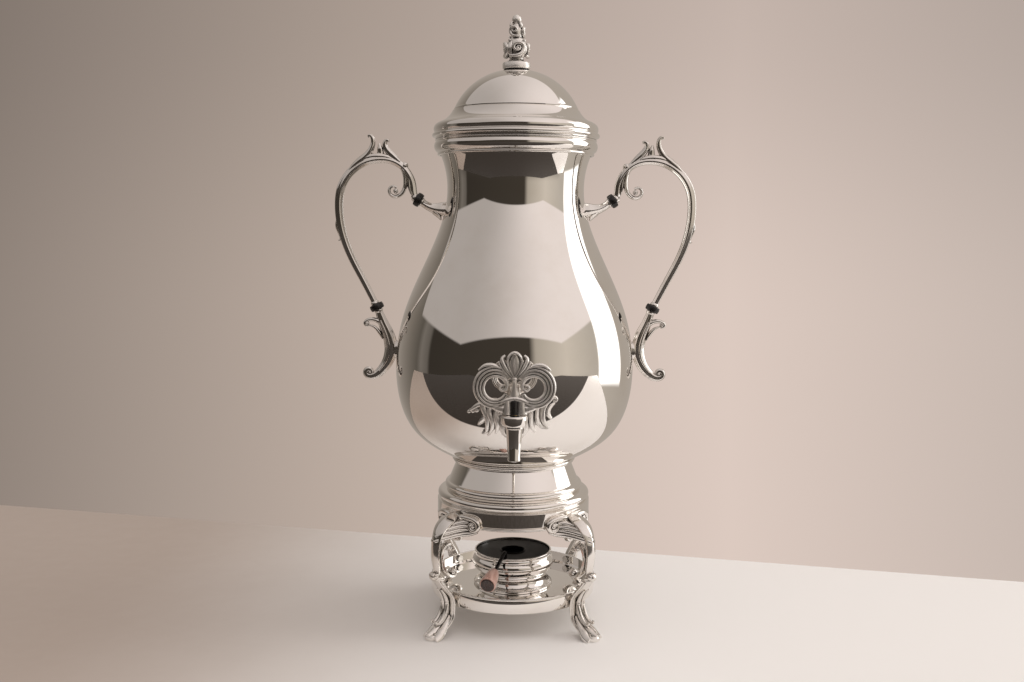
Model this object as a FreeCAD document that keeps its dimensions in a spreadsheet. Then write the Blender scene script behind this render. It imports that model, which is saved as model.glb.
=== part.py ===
"""Two-handled coffee urn with a tap, on a four-legged warming stand with a burner.

Millimetres. The origin is on the urn's axis at table level, +Z is up, and the tap is on the -Y side.
"""
import FreeCAD
import Part
import Sketcher
import math
import os

from FreeCAD import Placement, Rotation, Vector

SIZES = {
    # Sheet metal and running clearances
    "sheet_wall": 1.2,
    "lift_gap": 0.4,
    "turn_gap": 0.08,
    "pin_gap": 0.05,
    "solder_gap": 0.05,
    # Dish between the legs
    "plate_radius": 57.4,
    "plate_floor_height": 21.2,
    "plate_rim_drop": 2.7,
    "plate_rim_height": 10.5,
    # Spun stand shell, upward from the open edge of its apron
    "apron_radius": 53.0,
    "apron_bottom": 72.5,
    "apron_height": 9.9,
    "lower_ring_inset": 2.0,
    "lower_ring_height": 6.8,
    "lower_ring_rise": 2.42,
    "ring_step": 0.5,
    "upper_ring_inset": 4.6,
    "upper_ring_height": 5.4,
    "upper_ring_rise": 1.84,
    "stand_neck_inset": 5.8,
    "stand_neck_height": 12.3,
    "stand_neck_rise": 0.78,
    # Gallery ring that takes the urn's foot
    "gallery_overhang": 4.4,
    "gallery_wall": 2.8,
    "gallery_seat_width": 6.2,
    "gallery_seat_thickness": 2.1,
    "gallery_lip_height": 3.9,
    "gallery_chamfer": 1.0,
    # Cast legs: points on the centre line, out from the apron or the dish
    "leg_thickness": 6.0,
    "leg_top_out": 3.6,
    "leg_top_up": 5.5,
    "leg_knee_out": 15.5,
    "leg_knee_drop": 15.5,
    "leg_knot_out": 8.6,
    "leg_knot_up": 11.0,
    "leg_ankle_gap": 0.6,
    "leg_ankle_up": 2.5,
    "leg_instep_out": 9.1,
    "leg_instep_height": 7.0,
    "leg_toe_out": 18.0,
    "leg_boss_radius": 2.8,
    "knot_radius": 4.2,
    "knot_width": 17.0,
    "toe_pad_radius": 4.6,
    "toe_pad_height": 3.2,
    "leaf_thickness": 2.8,
    "leaf_drop": 6.0,
    "leaf_margin": 0.4,
    "leaf_half_angle": 20.0,
    # Screws that hold the legs
    "screw_radius": 1.2,
    "screw_head_radius": 2.4,
    "screw_head_height": 1.1,
    "screw_bite": 3.6,
    "upper_screw_up": 4.0,
    "lower_screw_up": 3.8,
    # Foot ring of the urn
    "foot_reveal": 0.6,
    "foot_width": 4.8,
    "base_overhang": 1.2,
    # Pear-shaped urn shell: radii on its outline, and how far each lies above the one before
    "hip_radius": 68.9,
    "hip_rise": 17.8,
    "belly_radius": 81.6,
    "belly_rise": 42.2,
    "chest_radius": 75.0,
    "chest_rise": 41.5,
    "shoulder_radius": 57.4,
    "shoulder_rise": 40.5,
    "neck_radius": 46.5,
    "neck_rise": 38.0,
    "flare_radius": 49.2,
    "flare_rise": 21.0,
    "lip_radius": 51.0,
    "lip_rise": 5.0,
    "lip_height": 10.0,
    # Collar round the mouth
    "collar_width": 4.8,
    "collar_drop": 0.4,
    "collar_shoulder": 3.0,
    "collar_rise": 0.69,
    # Lid
    "lid_overhang": 1.0,
    "lid_flange_inset": 2.2,
    "lid_flange_height": 1.4,
    "lid_rim_height": 4.4,
    "lid_rim_wall": 1.8,
    "lid_step_inset": 1.9,
    "lid_flare_width": 12.9,
    "lid_flare_height": 14.2,
    "lid_flare_rise": 1.38,
    "lid_crease_drop": 0.6,
    "dome_height": 26.1,
    "dome_rise": 5.07,
    "lid_crown_radius": 9.0,
    "bezel_gap": 0.6,
    "bezel_wall": 1.0,
    "bezel_land": 1.6,
    "bezel_short": 1.6,
    # Finial and its fixing
    "washer_inset": 1.0,
    "washer_thickness": 1.0,
    "finial_base_radius": 9.4,
    "finial_base_height": 3.4,
    "finial_neck_radius": 4.6,
    "finial_neck_height": 4.4,
    "finial_bulb_radius": 9.6,
    "finial_bulb_height": 12.8,
    "finial_bulb_rise": 1.2,
    "finial_waist_radius": 4.2,
    "finial_bud_radius": 6.2,
    "finial_bud_height": 9.4,
    "finial_bud_rise": 0.8,
    "finial_tip_root": 2.4,
    "finial_tip_height": 6.0,
    "finial_tip_rise": 2.0,
    "finial_tip_flat": 0.8,
    "stud_radius": 2.0,
    "stud_length": 6.4,
    "finial_nut_wall": 2.2,
    "finial_nut_height": 3.0,
    # Handles: points on the centre line, the lower ones out and up from the widest place of the
    # belly, the upper ones out from the neck and up from the shoulder
    "handle_tube_radius": 2.9,
    "handle_slant": 63.0,
    "handle_foot_out": 14.4,
    "handle_foot_up": 44.0,
    "handle_waist_out": 31.4,
    "handle_waist_up": 77.6,
    "handle_side_out": 39.3,
    "handle_side_up": 111.0,
    "handle_crown_out": 45.0,
    "handle_crown_up": 61.0,
    "handle_throat_out": 21.5,
    "handle_throat_up": 34.6,
    "handle_bend_out": 30.5,
    "handle_bend_up": 56.0,
    "curl_tube_radius": 1.6,
    "curl_out": 34.7,
    "curl_up": 39.4,
    "curl_radius": 4.2,
    "curl_tip": 2.5,
    "thumb_width": 4.0,
    "thumb_outer_out": 53.2,
    "thumb_outer_up": 77.5,
    "thumb_inner_out": 39.9,
    "thumb_inner_up": 74.0,
    "thumb_dip_up": 70.0,
    # Heat breaks between the handles and the urn
    "insulator_radius": 4.9,
    "insulator_length": 4.2,
    "upper_break_tilt": 31.5,
    "pin_radius": 1.3,
    "pin_bite": 3.2,
    # Arms and brackets soldered to the urn
    "arm_radius": 3.1,
    "arm_up": 29.2,
    "bracket_radius": 3.4,
    "bracket_contact_out": 4.6,
    "bracket_contact_up": 12.0,
    "bracket_heel_out": 11.0,
    "bracket_heel_drop": 5.0,
    "bracket_curl_out": 17.8,
    "bracket_curl_drop": 6.0,
    "bracket_lug_radius": 3.2,
    "bracket_branch": 6.8,
    "side_curl_slant": 45.0,
    "side_curl_out": 21.8,
    "side_curl_up": 29.4,
    # Tap
    "tap_standoff": 26.4,
    "tap_drop": 25.0,
    "waterway_radius": 1.9,
    "shank_wall": 3.1,
    "shank_tail": 1.2,
    "plug_radius": 3.3,
    "plug_depth": 6.0,
    "plug_port_radius": 1.7,
    "barrel_wall": 2.4,
    "barrel_rise": 5.2,
    "spout_drop": 16.2,
    "outlet_radius": 2.4,
    "spout_wall": 1.4,
    "bonnet_radius": 8.0,
    "bonnet_height": 6.4,
    "bonnet_bevel": 1.0,
    "stem_radius": 2.0,
    "packing_height": 1.6,
    "gasket_width": 4.5,
    "gasket_thickness": 1.6,
    "tap_nut_wall": 4.0,
    "tap_nut_height": 4.0,
    "escutcheon_thickness": 2.4,
    "escutcheon_half_width": 25.0,
    "escutcheon_half_height": 15.5,
    "escutcheon_rise": 1.5,
    # Key of the tap
    "key_loop_radius": 12.6,
    "key_loop_lap": 0.8,
    "key_loop_rise": 15.4,
    "key_bar": 5.0,
    "key_thickness": 4.4,
    "key_boss_wall": 0.9,
    "key_bud_radius": 7.4,
    "key_bud_seat": 6.8,
    # Burner
    "burner_foot_radius": 27.5,
    "burner_flange_height": 2.2,
    "burner_waist_radius": 23.4,
    "burner_waist_up": 10.3,
    "burner_waist_rise": 1.23,
    "bowl_radius": 28.4,
    "bowl_bulge_up": 6.4,
    "bowl_bulge_rise": 0.97,
    "bowl_height": 14.3,
    "mouth_inset": 1.4,
    "bowl_wall": 1.0,
    "bowl_floor_thickness": 1.2,
    "cup_inset": 0.6,
    "cup_height": 10.6,
    "cup_wall": 0.8,
    "wick_height": 6.0,
    # Damper that turns on the fuel cup
    "damper_thickness": 1.0,
    "damper_hole_radius": 8.0,
    "damper_bearing": 254.5,
    "rod_radius": 1.3,
    "rod_inset": 5.6,
    "rod_slope": 13.5,
    "rod_gap": 0.4,
    "rod_reach": 19.0,
    "knob_length": 16.5,
    "knob_radius": 5.0,
    "ferrule_length": 2.2,
    "ferrule_inset": 0.4,
}

FULL_TURN = 360.0
LEG_BEARINGS = {"front_left": 225.0, "front_right": 315.0, "back_right": 45.0, "back_left": 135.0}
SIDES = {"left": -1.0, "right": 1.0}

doc = FreeCAD.newDocument("coffee_urn")
sheet = doc.addObject("Spreadsheet::Sheet", "sizes")
nodes = []


class Length:
    """A length or angle together with the sheet expression that yields it."""

    def __init__(self, value, text):
        self.value = value
        self.text = text

    @staticmethod
    def of(item):
        return item if isinstance(item, Length) else Length(float(item), repr(float(item)))

    def __add__(self, other):
        other = Length.of(other)
        return Length(self.value + other.value, f"({self.text} + {other.text})")

    def __sub__(self, other):
        other = Length.of(other)
        return Length(self.value - other.value, f"({self.text} - {other.text})")

    def __mul__(self, factor):
        factor = Length.of(factor)
        return Length(self.value * factor.value, f"({self.text} * {factor.text})")

    def __truediv__(self, factor):
        factor = Length.of(factor)
        return Length(self.value / factor.value, f"({self.text} / {factor.text})")

    def __neg__(self):
        return Length(-self.value, f"(-{self.text})")


class Sheet:
    """Driving dimensions, read back from the document's spreadsheet by alias."""

    def __init__(self, table):
        for row, (alias, value) in enumerate(table.items(), start=1):
            sheet.set(f"A{row}", alias)
            sheet.set(f"B{row}", str(value))
            sheet.setAlias(f"B{row}", alias)
        doc.recompute()

    def __getattr__(self, alias):
        return Length(float(sheet.get(alias)), f"sizes.{alias}")

    def number(self, alias):
        return float(sheet.get(alias))


size = Sheet(SIZES)
num = size.number
AXIS = Length.of(0.0)

# Stand, from the table up
PLATE_RIM_BOTTOM = size.plate_floor_height - size.plate_rim_drop
PLATE_RIM_TOP = PLATE_RIM_BOTTOM + size.plate_rim_height
APRON_TOP = size.apron_bottom + size.apron_height
LOWER_RING_ROOT = size.apron_radius - size.lower_ring_inset
LOWER_RING_TOP = APRON_TOP + size.lower_ring_height
UPPER_RING_ROOT = LOWER_RING_ROOT - size.upper_ring_inset
UPPER_RING_BOTTOM = LOWER_RING_TOP + size.ring_step
UPPER_RING_TOP = UPPER_RING_BOTTOM + size.upper_ring_height
STAND_NECK_RADIUS = UPPER_RING_ROOT - size.stand_neck_inset
STAND_NECK_TOP = UPPER_RING_TOP + size.stand_neck_height
GALLERY_RADIUS = STAND_NECK_RADIUS + size.gallery_overhang
GALLERY_INNER_RADIUS = GALLERY_RADIUS - size.gallery_wall
SEAT_TOP = STAND_NECK_TOP + size.gallery_seat_thickness
GALLERY_TOP = SEAT_TOP + size.gallery_lip_height

# Urn, from its foot up
FOOT_RADIUS = GALLERY_INNER_RADIUS - size.lift_gap
URN_BOTTOM = GALLERY_TOP + size.foot_reveal
BELLY_LEVEL = URN_BOTTOM + size.hip_rise + size.belly_rise
SHOULDER_LEVEL = BELLY_LEVEL + size.chest_rise + size.shoulder_rise
LIP_BOTTOM = SHOULDER_LEVEL + size.neck_rise + size.flare_rise + size.lip_rise
LIP_TOP = LIP_BOTTOM + size.lip_height
COLLAR_RADIUS = size.lip_radius + size.collar_width

# Tap
TAP_REACH = size.belly_radius + size.tap_standoff
TAP_LEVEL = BELLY_LEVEL - size.tap_drop
BARREL_TOP = TAP_LEVEL + size.barrel_rise
SPOUT_BOTTOM = TAP_LEVEL - size.spout_drop
PLUG_SEAT = TAP_LEVEL - size.plug_depth
SHANK_RADIUS = size.waterway_radius + size.shank_wall
GASKET_RADIUS = SHANK_RADIUS + size.gasket_width
STEM_ROOM = size.stem_radius + size.turn_gap
KEY_BOTTOM = BARREL_TOP + size.bonnet_height + size.lift_gap
KEY_LOOP_LEVEL = KEY_BOTTOM + size.key_loop_rise
STEM_TOP = KEY_LOOP_LEVEL - size.key_loop_radius

# Lid
LID_FLANGE_TOP = LIP_TOP + size.lid_flange_height
LID_RIM_RADIUS = COLLAR_RADIUS + size.lid_overhang
LID_RIM_TOP = LID_FLANGE_TOP + size.lid_rim_height
LID_STEP_RADIUS = LID_RIM_RADIUS - size.lid_step_inset
CREASE_RADIUS = LID_STEP_RADIUS - size.lid_flare_width
CREASE_LEVEL = LID_RIM_TOP + size.lid_flare_height
CROWN_LEVEL = CREASE_LEVEL + size.dome_height
BEZEL_RADIUS = size.lip_radius - size.sheet_wall - size.bezel_gap
STUD_ROOM = size.stud_radius + size.pin_gap

# Burner
WAIST_LEVEL = size.plate_floor_height + size.burner_waist_up
MOUTH_RADIUS = size.bowl_radius - size.mouth_inset
MOUTH_LEVEL = WAIST_LEVEL + size.bowl_height
CUP_BOTTOM = WAIST_LEVEL + size.bowl_floor_thickness
CUP_TOP = CUP_BOTTOM + size.cup_height
DAMPER_RADIUS = MOUTH_RADIUS - size.bowl_wall - size.lift_gap


def bind(item, **properties):
    """Tie properties of a document object to sheet expressions."""
    for name, length in properties.items():
        item.setExpression(name, Length.of(length).text)


def bind_base(item, **axes):
    """Tie the position of a document object to sheet expressions."""
    for axis, length in axes.items():
        item.setExpression(f"Placement.Base.{axis}", Length.of(length).text)


def node(item, name):
    """Register a finished document object as a named sub-part."""
    item.Label = name
    nodes.append(item)
    return item


def feature(name, shape):
    """A free-form sub-part or tool whose shape is worked out from the sheet's values."""
    item = doc.addObject("Part::Feature", name)
    item.Shape = shape
    return item


def arc_radius(start, end, rise):
    """Radius of the arc between two corners that stands off their chord by a rise."""
    across = end[0] - start[0]
    up = end[1] - start[1]
    return (across * across + up * up) / (rise * 8.0) + rise / 2.0


def add_arc(sketch, start, end, rise, side):
    """Add an arc to a sketch; returns its index and which of its ends are start and end."""
    radius = arc_radius(start, end, rise)
    first = Vector(start[0].value, start[1].value, 0)
    last = Vector(end[0].value, end[1].value, 0)
    chord = last - first
    left = Vector(-chord.y, chord.x, 0).normalize()
    centre = (first + last) * 0.5 + left * (side * (radius.value - rise.value))
    if side < 0:
        first, last = last, first
    circle = Part.Circle(centre, Vector(0, 0, 1), radius.value)
    angles = [math.atan2(place.y - centre.y, place.x - centre.x) for place in (first, last)]
    index = sketch.addGeometry(Part.ArcOfCircle(circle, angles[0], angles[1]), False)
    constraint = sketch.addConstraint(Sketcher.Constraint("Radius", index, radius.value))
    sketch.setExpression(f"Constraints[{constraint}]", radius.text)
    return (index, 1, 2) if side > 0 else (index, 2, 1)


def pin_corner(sketch, index, end, radius, height):
    """Hold one corner of a profile at a radius and a height from the sheet."""
    for kind, length in (("DistanceX", radius), ("DistanceY", height)):
        if kind == "DistanceX" and length.value == 0.0:
            sketch.addConstraint(Sketcher.Constraint("PointOnObject", index, end, -2))
            continue
        constraint = sketch.addConstraint(Sketcher.Constraint(kind, -1, 1, index, end, length.value))
        sketch.setExpression(f"Constraints[{constraint}]", length.text)


def turned(name, outline):
    """A body turned about its Z axis from an outline that runs anticlockwise in (radius, height).

    Each corner is (radius, height), or (radius, height, rise, side) where the run to the next
    corner is an arc that stands off its chord by a rise: side +1 swells outward and -1 is hollow.
    """
    body = doc.addObject("PartDesign::Body", name)
    sketch = body.newObject("Sketcher::SketchObject", f"{name}_profile")
    plane = next(item for item in body.Origin.OriginFeatures if item.Role == "XZ_Plane")
    sketch.AttachmentSupport = [(plane, "")]
    sketch.MapMode = "FlatFace"
    runs = []
    for place, corner in enumerate(outline):
        following = outline[(place + 1) % len(outline)]
        if len(corner) == 4:
            runs.append(add_arc(sketch, corner, following, corner[2], corner[3]))
            continue
        start = Vector(corner[0].value, corner[1].value, 0)
        end = Vector(following[0].value, following[1].value, 0)
        runs.append((sketch.addGeometry(Part.LineSegment(start, end), False), 1, 2))
    for place, (index, first, last) in enumerate(runs):
        next_index, next_first, _ = runs[(place + 1) % len(runs)]
        sketch.addConstraint(Sketcher.Constraint("Coincident", index, last, next_index, next_first))
        pin_corner(sketch, index, first, outline[place][0], outline[place][1])
    turn = body.newObject("PartDesign::Revolution", f"{name}_turn")
    turn.Profile = sketch
    turn.ReferenceAxis = (sketch, ["V_Axis"])
    turn.Angle = FULL_TURN
    return body


def cylinder(name, radius, length, base, direction):
    """A cylinder from a base point along a direction, with its sizes bound to the sheet."""
    item = doc.addObject("Part::Cylinder", name)
    bind(item, Radius=radius, Height=length)
    item.Placement = Placement(base, Rotation(Vector(0, 0, 1), direction))
    return item


def upright(name, radius, length, bottom, y=AXIS):
    """A vertical cylinder whose size and position are bound to the sheet."""
    item = doc.addObject("Part::Cylinder", name)
    bind(item, Radius=radius, Height=length)
    bind_base(item, y=y, z=bottom)
    return item


def cut(name, base, tool):
    item = doc.addObject("Part::Cut", name)
    item.Base = base
    item.Tool = tool
    return item


def fuse(name, items):
    item = doc.addObject("Part::MultiFuse", name)
    item.Shapes = items
    return item


def group(name, items):
    item = doc.addObject("Part::Compound", name)
    item.Links = items
    return item


def tangent_path(start, heading, stops):
    """Arcs through the stops, each leaving along the heading in which the last one ended."""
    edges = []
    straight = 1.0e-3
    for stop in stops:
        chord = stop - start
        along = Vector(chord).normalize()
        sideways = chord - heading * chord.dot(heading)
        if sideways.Length < straight:
            edges.append(Part.LineSegment(start, stop).toShape())
        else:
            centre = start + sideways * (chord.Length ** 2 / (2 * chord.dot(sideways)))
            outward = ((start + stop) * 0.5 - centre).normalize()
            turn = 1.0 if heading.dot(chord) > 0 else -1.0
            middle = centre + outward * (turn * (start - centre).Length)
            edges.append(Part.Arc(start, middle, stop).toShape())
        heading = along * (2 * heading.dot(along)) - heading
        start = stop
    return edges, heading


def rod(start, heading, stops, radius, end_ball=False):
    """A round rod along a tangent path, with a ball on its far end if wanted."""
    edges, _ = tangent_path(start, heading, stops)
    section = Part.Wire(Part.makeCircle(radius, start, heading))
    solid = Part.Wire(edges).makePipeShell([section], True, True)
    if end_ball:
        return solid.fuse(Part.makeSphere(radius, stops[-1]))
    return solid


def smooth_rod(stations, radius):
    """A round rod with a ball on its far end, along one smooth curve through the stations."""
    curve = Part.BSplineCurve()
    curve.interpolate(Points=stations)
    heading = curve.tangent(curve.FirstParameter)[0]
    section = Part.Wire(Part.makeCircle(radius, stations[0], heading))
    solid = Part.Wire(curve.toShape()).makePipeShell([section], True, False)
    return solid.fuse(Part.makeSphere(radius, stations[-1]))


def slope(degrees):
    """Unit vector in the XZ plane at an angle above the +X axis."""
    angle = math.radians(degrees)
    return Vector(math.cos(angle), 0, math.sin(angle))


def point(reach, height):
    """Point in the XZ plane."""
    return Vector(reach.value, 0, height.value)


def low_handle_point(name):
    """Point of a handle that is placed from the widest place of the belly."""
    reach = size.belly_radius.value + num(f"{name}_out")
    return Vector(reach, 0, BELLY_LEVEL.value + num(f"{name}_up"))


def high_handle_point(name):
    """Point of a handle that is placed out from the neck and up from the shoulder."""
    reach = size.neck_radius.value + num(f"{name}_out")
    return Vector(reach, 0, SHOULDER_LEVEL.value + num(f"{name}_up"))


def mirrored(shape, side):
    """The right-hand shape as it is, or its mirror image on the left."""
    return shape if side > 0 else shape.mirror(Vector(0, 0, 0), Vector(1, 0, 0))


def turned_about_axis(shape, bearing):
    """Copy of a shape turned about the urn's axis."""
    copy = shape.copy()
    copy.rotate(Vector(0, 0, 0), Vector(0, 0, 1), bearing)
    return copy


def pear_outline():
    """Points on the urn's outline, and the smooth curve through them."""
    height = URN_BOTTOM.value
    outline = [Vector(FOOT_RADIUS.value + num("base_overhang"), 0, height)]
    for name in ("hip", "belly", "chest", "shoulder", "neck", "flare", "lip"):
        height += num(f"{name}_rise")
        outline.append(Vector(num(f"{name}_radius"), 0, height))
    curve = Part.BSplineCurve()
    curve.interpolate(Points=outline)
    return outline, curve


def pear_radius(height):
    """Outer radius of the urn at a height on its outline."""
    _, curve = pear_outline()
    level = Part.LineSegment(Vector(0, 0, height), Vector(2 * num("belly_radius"), 0, height))
    return level.intersectCC(curve)[0].X


def pear_solid(offset, top):
    """The urn's filled outline, moved outward by an offset and closed at a given height."""
    outline, curve = pear_outline()
    moved = []
    for station in outline:
        along = curve.tangent(curve.parameter(station))[0]
        moved.append(station + Vector(along.z, 0, -along.x) * offset)
    bottom = URN_BOTTOM.value - offset
    moved[0] = Vector(moved[0].x, 0, bottom)
    moved[-1] = Vector(num("lip_radius") + offset, 0, LIP_BOTTOM.value)
    side = Part.BSplineCurve()
    side.interpolate(Points=moved)
    lip = Vector(moved[-1].x, 0, top)
    corners = [Vector(0, 0, bottom), moved[0], moved[-1], lip, Vector(0, 0, top)]
    edges = [
        Part.LineSegment(corners[0], corners[1]).toShape(),
        side.toShape(),
        Part.LineSegment(corners[2], corners[3]).toShape(),
        Part.LineSegment(corners[3], corners[4]).toShape(),
        Part.LineSegment(corners[4], corners[0]).toShape(),
    ]
    face = Part.Face(Part.Wire(edges))
    return face.revolve(Vector(0, 0, 0), Vector(0, 0, 1), FULL_TURN)


# Stand

def screw(seat, tip, height):
    """A screw along +X from its head's seat to its tip, both as distances from the axis."""
    outward = Vector(1, 0, 0)
    shank = Part.makeCylinder(num("screw_radius"), tip - seat, Vector(seat, 0, height), outward)
    thickness = num("screw_head_height")
    head_base = Vector(seat - thickness, 0, height)
    head = Part.makeCylinder(num("screw_head_radius"), thickness, head_base, outward)
    return shank.fuse(head).removeSplitter()


def screw_spans():
    """Head seat, tip and height of the upper and the lower screws."""
    seats = {
        "upper": (num("apron_radius"), size.apron_bottom + size.upper_screw_up),
        "lower": (num("plate_radius"), size.plate_floor_height + size.lower_screw_up),
    }
    inset = num("sheet_wall") + num("lift_gap")
    bite = num("screw_bite")
    return {row: (wall - inset, wall + bite, height.value) for row, (wall, height) in seats.items()}


def screw_holes():
    """Round holes for all eight leg screws, with pin clearance."""
    holes = []
    for head, tip, height in screw_spans().values():
        hole = Part.makeCylinder(
            num("screw_radius") + num("pin_gap"), tip + num("pin_gap") - head,
            Vector(head, 0, height), Vector(1, 0, 0))
        holes += [turned_about_axis(hole, bearing) for bearing in LEG_BEARINGS.values()]
    return Part.makeCompound(holes)


def make_stand_shell(holes):
    wall = size.sheet_wall
    inner_step = UPPER_RING_ROOT - wall
    blank = turned("stand_shell_spinning", [
        (size.apron_radius - wall, size.apron_bottom),
        (size.apron_radius, size.apron_bottom),
        (size.apron_radius, APRON_TOP),
        (LOWER_RING_ROOT, APRON_TOP, size.lower_ring_rise, 1),
        (LOWER_RING_ROOT, LOWER_RING_TOP),
        (UPPER_RING_ROOT, UPPER_RING_BOTTOM, size.upper_ring_rise, 1),
        (UPPER_RING_ROOT, UPPER_RING_TOP, size.stand_neck_rise, -1),
        (STAND_NECK_RADIUS, STAND_NECK_TOP),
        (STAND_NECK_RADIUS - wall, STAND_NECK_TOP),
        (inner_step, UPPER_RING_TOP),
        (inner_step, LOWER_RING_TOP - wall),
        (LOWER_RING_ROOT - wall, LOWER_RING_TOP - wall),
        (LOWER_RING_ROOT - wall, APRON_TOP - wall),
        (size.apron_radius - wall, APRON_TOP - wall),
    ])
    node(cut("stand_shell_drilled", blank, holes), "stand_shell")


def make_gallery():
    bevel = size.gallery_chamfer
    seat_inner = GALLERY_INNER_RADIUS - size.gallery_seat_width
    node(turned("gallery_turning", [
        (seat_inner, STAND_NECK_TOP),
        (GALLERY_RADIUS - bevel, STAND_NECK_TOP),
        (GALLERY_RADIUS, STAND_NECK_TOP + bevel),
        (GALLERY_RADIUS, GALLERY_TOP - bevel),
        (GALLERY_RADIUS - bevel, GALLERY_TOP),
        (GALLERY_INNER_RADIUS, GALLERY_TOP),
        (GALLERY_INNER_RADIUS, SEAT_TOP),
        (seat_inner, SEAT_TOP),
    ]), "stand_gallery")


def make_plate(holes):
    under = size.plate_floor_height - size.sheet_wall
    rim_inner = size.plate_radius - size.sheet_wall
    blank = turned("warmer_plate_spinning", [
        (AXIS, under),
        (rim_inner, under),
        (rim_inner, PLATE_RIM_BOTTOM),
        (size.plate_radius, PLATE_RIM_BOTTOM),
        (size.plate_radius, PLATE_RIM_TOP),
        (rim_inner, PLATE_RIM_TOP),
        (rim_inner, size.plate_floor_height),
        (AXIS, size.plate_floor_height),
    ])
    node(cut("warmer_plate_drilled", blank, holes), "warmer_plate")


def leg_leaf():
    """Leaf of a leg in the +X direction, wrapped round the outside of the apron."""
    inner = num("apron_radius") + num("solder_gap")
    bottom = num("apron_bottom") - num("leaf_drop")
    height = APRON_TOP.value - num("leaf_margin") - bottom
    base = Vector(0, 0, bottom)
    sweep = 2 * num("leaf_half_angle")
    outside = Part.makeCylinder(inner + num("leaf_thickness"), height, base, Vector(0, 0, 1), sweep)
    inside = Part.makeCylinder(inner, height, base)
    return turned_about_axis(outside, -num("leaf_half_angle")).cut(inside)


def leg_casting():
    """One leg in the +X direction: leaf on the apron, cabriole stem, scroll knot and toe."""
    half = size.leg_thickness / 2.0
    apron = size.apron_radius
    plate = size.plate_radius
    top = point(apron + size.leg_top_out, size.apron_bottom + size.leg_top_up)
    knot_place = point(plate + size.leg_knot_out, PLATE_RIM_TOP + size.leg_knot_up)
    toe = plate + size.leg_toe_out
    stations = [
        top,
        point(apron + size.leg_knee_out, size.apron_bottom - size.leg_knee_drop),
        knot_place,
        point(plate + size.leg_ankle_gap + half, PLATE_RIM_BOTTOM + size.leg_ankle_up),
        point(plate + size.leg_instep_out, size.leg_instep_height),
        point(toe, half),
    ]
    stem = smooth_rod(stations, half.value)
    width = num("knot_width")
    knot_base = knot_place - Vector(0, width / 2, 0)
    knot = Part.makeCylinder(num("knot_radius"), width, knot_base, Vector(0, 1, 0))
    pad = Part.makeCylinder(num("toe_pad_radius"), num("toe_pad_height"), point(toe, AXIS))
    boss_base = point(plate + size.solder_gap, size.plate_floor_height + size.lower_screw_up)
    boss_length = num("leg_ankle_gap") + half.value
    boss = Part.makeCylinder(num("leg_boss_radius"), boss_length, boss_base, Vector(1, 0, 0))
    table = Part.makeCylinder(2 * toe.value, half.value, point(AXIS, -half))
    return stem.fuse([knot, pad, boss, leg_leaf()]).cut(table)


def make_legs(holes):
    casting = leg_casting()
    for place, bearing in LEG_BEARINGS.items():
        shape = turned_about_axis(casting, bearing).cut(holes.Shape)
        node(feature(f"leg_{place}_casting", shape), f"leg_{place}")


def make_leg_screws():
    for row, (head, tip, height) in screw_spans().items():
        one = screw(head, tip, height)
        solids = [turned_about_axis(one, bearing) for bearing in LEG_BEARINGS.values()]
        node(feature(f"leg_screws_{row}_set", Part.makeCompound(solids)), f"leg_screws_{row}")


# Urn shell

def nut_face():
    """Distance in front of the urn's axis of the gasket's flat face, where the nut seats."""
    lowest = TAP_LEVEL - GASKET_RADIUS
    return pear_radius(lowest.value) - num("sheet_wall") - num("gasket_thickness")


def shank_axis_point(distance):
    """Point on the tap's shank axis at a distance in front of the urn's axis."""
    return Vector(0, -distance, TAP_LEVEL.value)


def along_shank(radius, front, back):
    """Cylinder on the shank's axis between two distances in front of the urn's axis."""
    return Part.makeCylinder(radius, front - back, shank_axis_point(front), Vector(0, 1, 0))


def shank_hole():
    """Clearance hole for the tap's shank, from the tap back to the urn's axis."""
    return along_shank(SHANK_RADIUS.value + num("pin_gap"), TAP_REACH.value, 0.0)


def urn_band(shell, bottom, top):
    """The part of the urn's shell between two levels."""
    reach = 2 * num("belly_radius")
    return shell.common(Part.makeCylinder(reach, (top - bottom).value, point(AXIS, bottom)))


def make_urn_shell():
    """Bowl, shoulder and neck of the urn, spun apart and soldered into one pear."""
    wall = num("sheet_wall")
    top = LIP_TOP.value
    shell = pear_solid(0.0, top).cut(pear_solid(-wall, top + wall))
    bands = {
        "urn_bowl": (URN_BOTTOM, BELLY_LEVEL),
        "urn_shoulder": (BELLY_LEVEL, SHOULDER_LEVEL),
        "urn_neck": (SHOULDER_LEVEL, LIP_TOP),
    }
    for name, levels in bands.items():
        band = urn_band(shell, *levels).cut(shank_hole())
        node(feature(f"{name}_spinning", band), name)


def make_collar_and_foot():
    inner = size.lip_radius + size.solder_gap
    bottom = LIP_BOTTOM - size.collar_drop
    shoulder = COLLAR_RADIUS - size.collar_shoulder
    node(turned("collar_turning", [
        (inner, LIP_BOTTOM),
        (shoulder, bottom, size.collar_rise, 1),
        (COLLAR_RADIUS, bottom + size.collar_shoulder),
        (COLLAR_RADIUS, LIP_TOP - size.collar_shoulder, size.collar_rise, 1),
        (shoulder, LIP_TOP),
        (inner, LIP_TOP),
    ]), "mouth_collar")
    foot_inner = FOOT_RADIUS - size.foot_width
    node(turned("foot_turning", [
        (foot_inner, SEAT_TOP),
        (FOOT_RADIUS, SEAT_TOP),
        (FOOT_RADIUS, URN_BOTTOM),
        (foot_inner, URN_BOTTOM),
    ]), "urn_foot_ring")


# Handles

def upper_break():
    """Centre and direction of the upper heat break, from the handle down towards the neck."""
    direction = slope(180 + num("upper_break_tilt"))
    return high_handle_point("handle_throat") + direction * (num("insulator_length") / 2), direction


def lower_break():
    """Centre and direction of the lower heat break, from the handle down towards the bracket."""
    direction = slope(180 + num("handle_slant"))
    return low_handle_point("handle_foot") + direction * (num("insulator_length") / 2), direction


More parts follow.
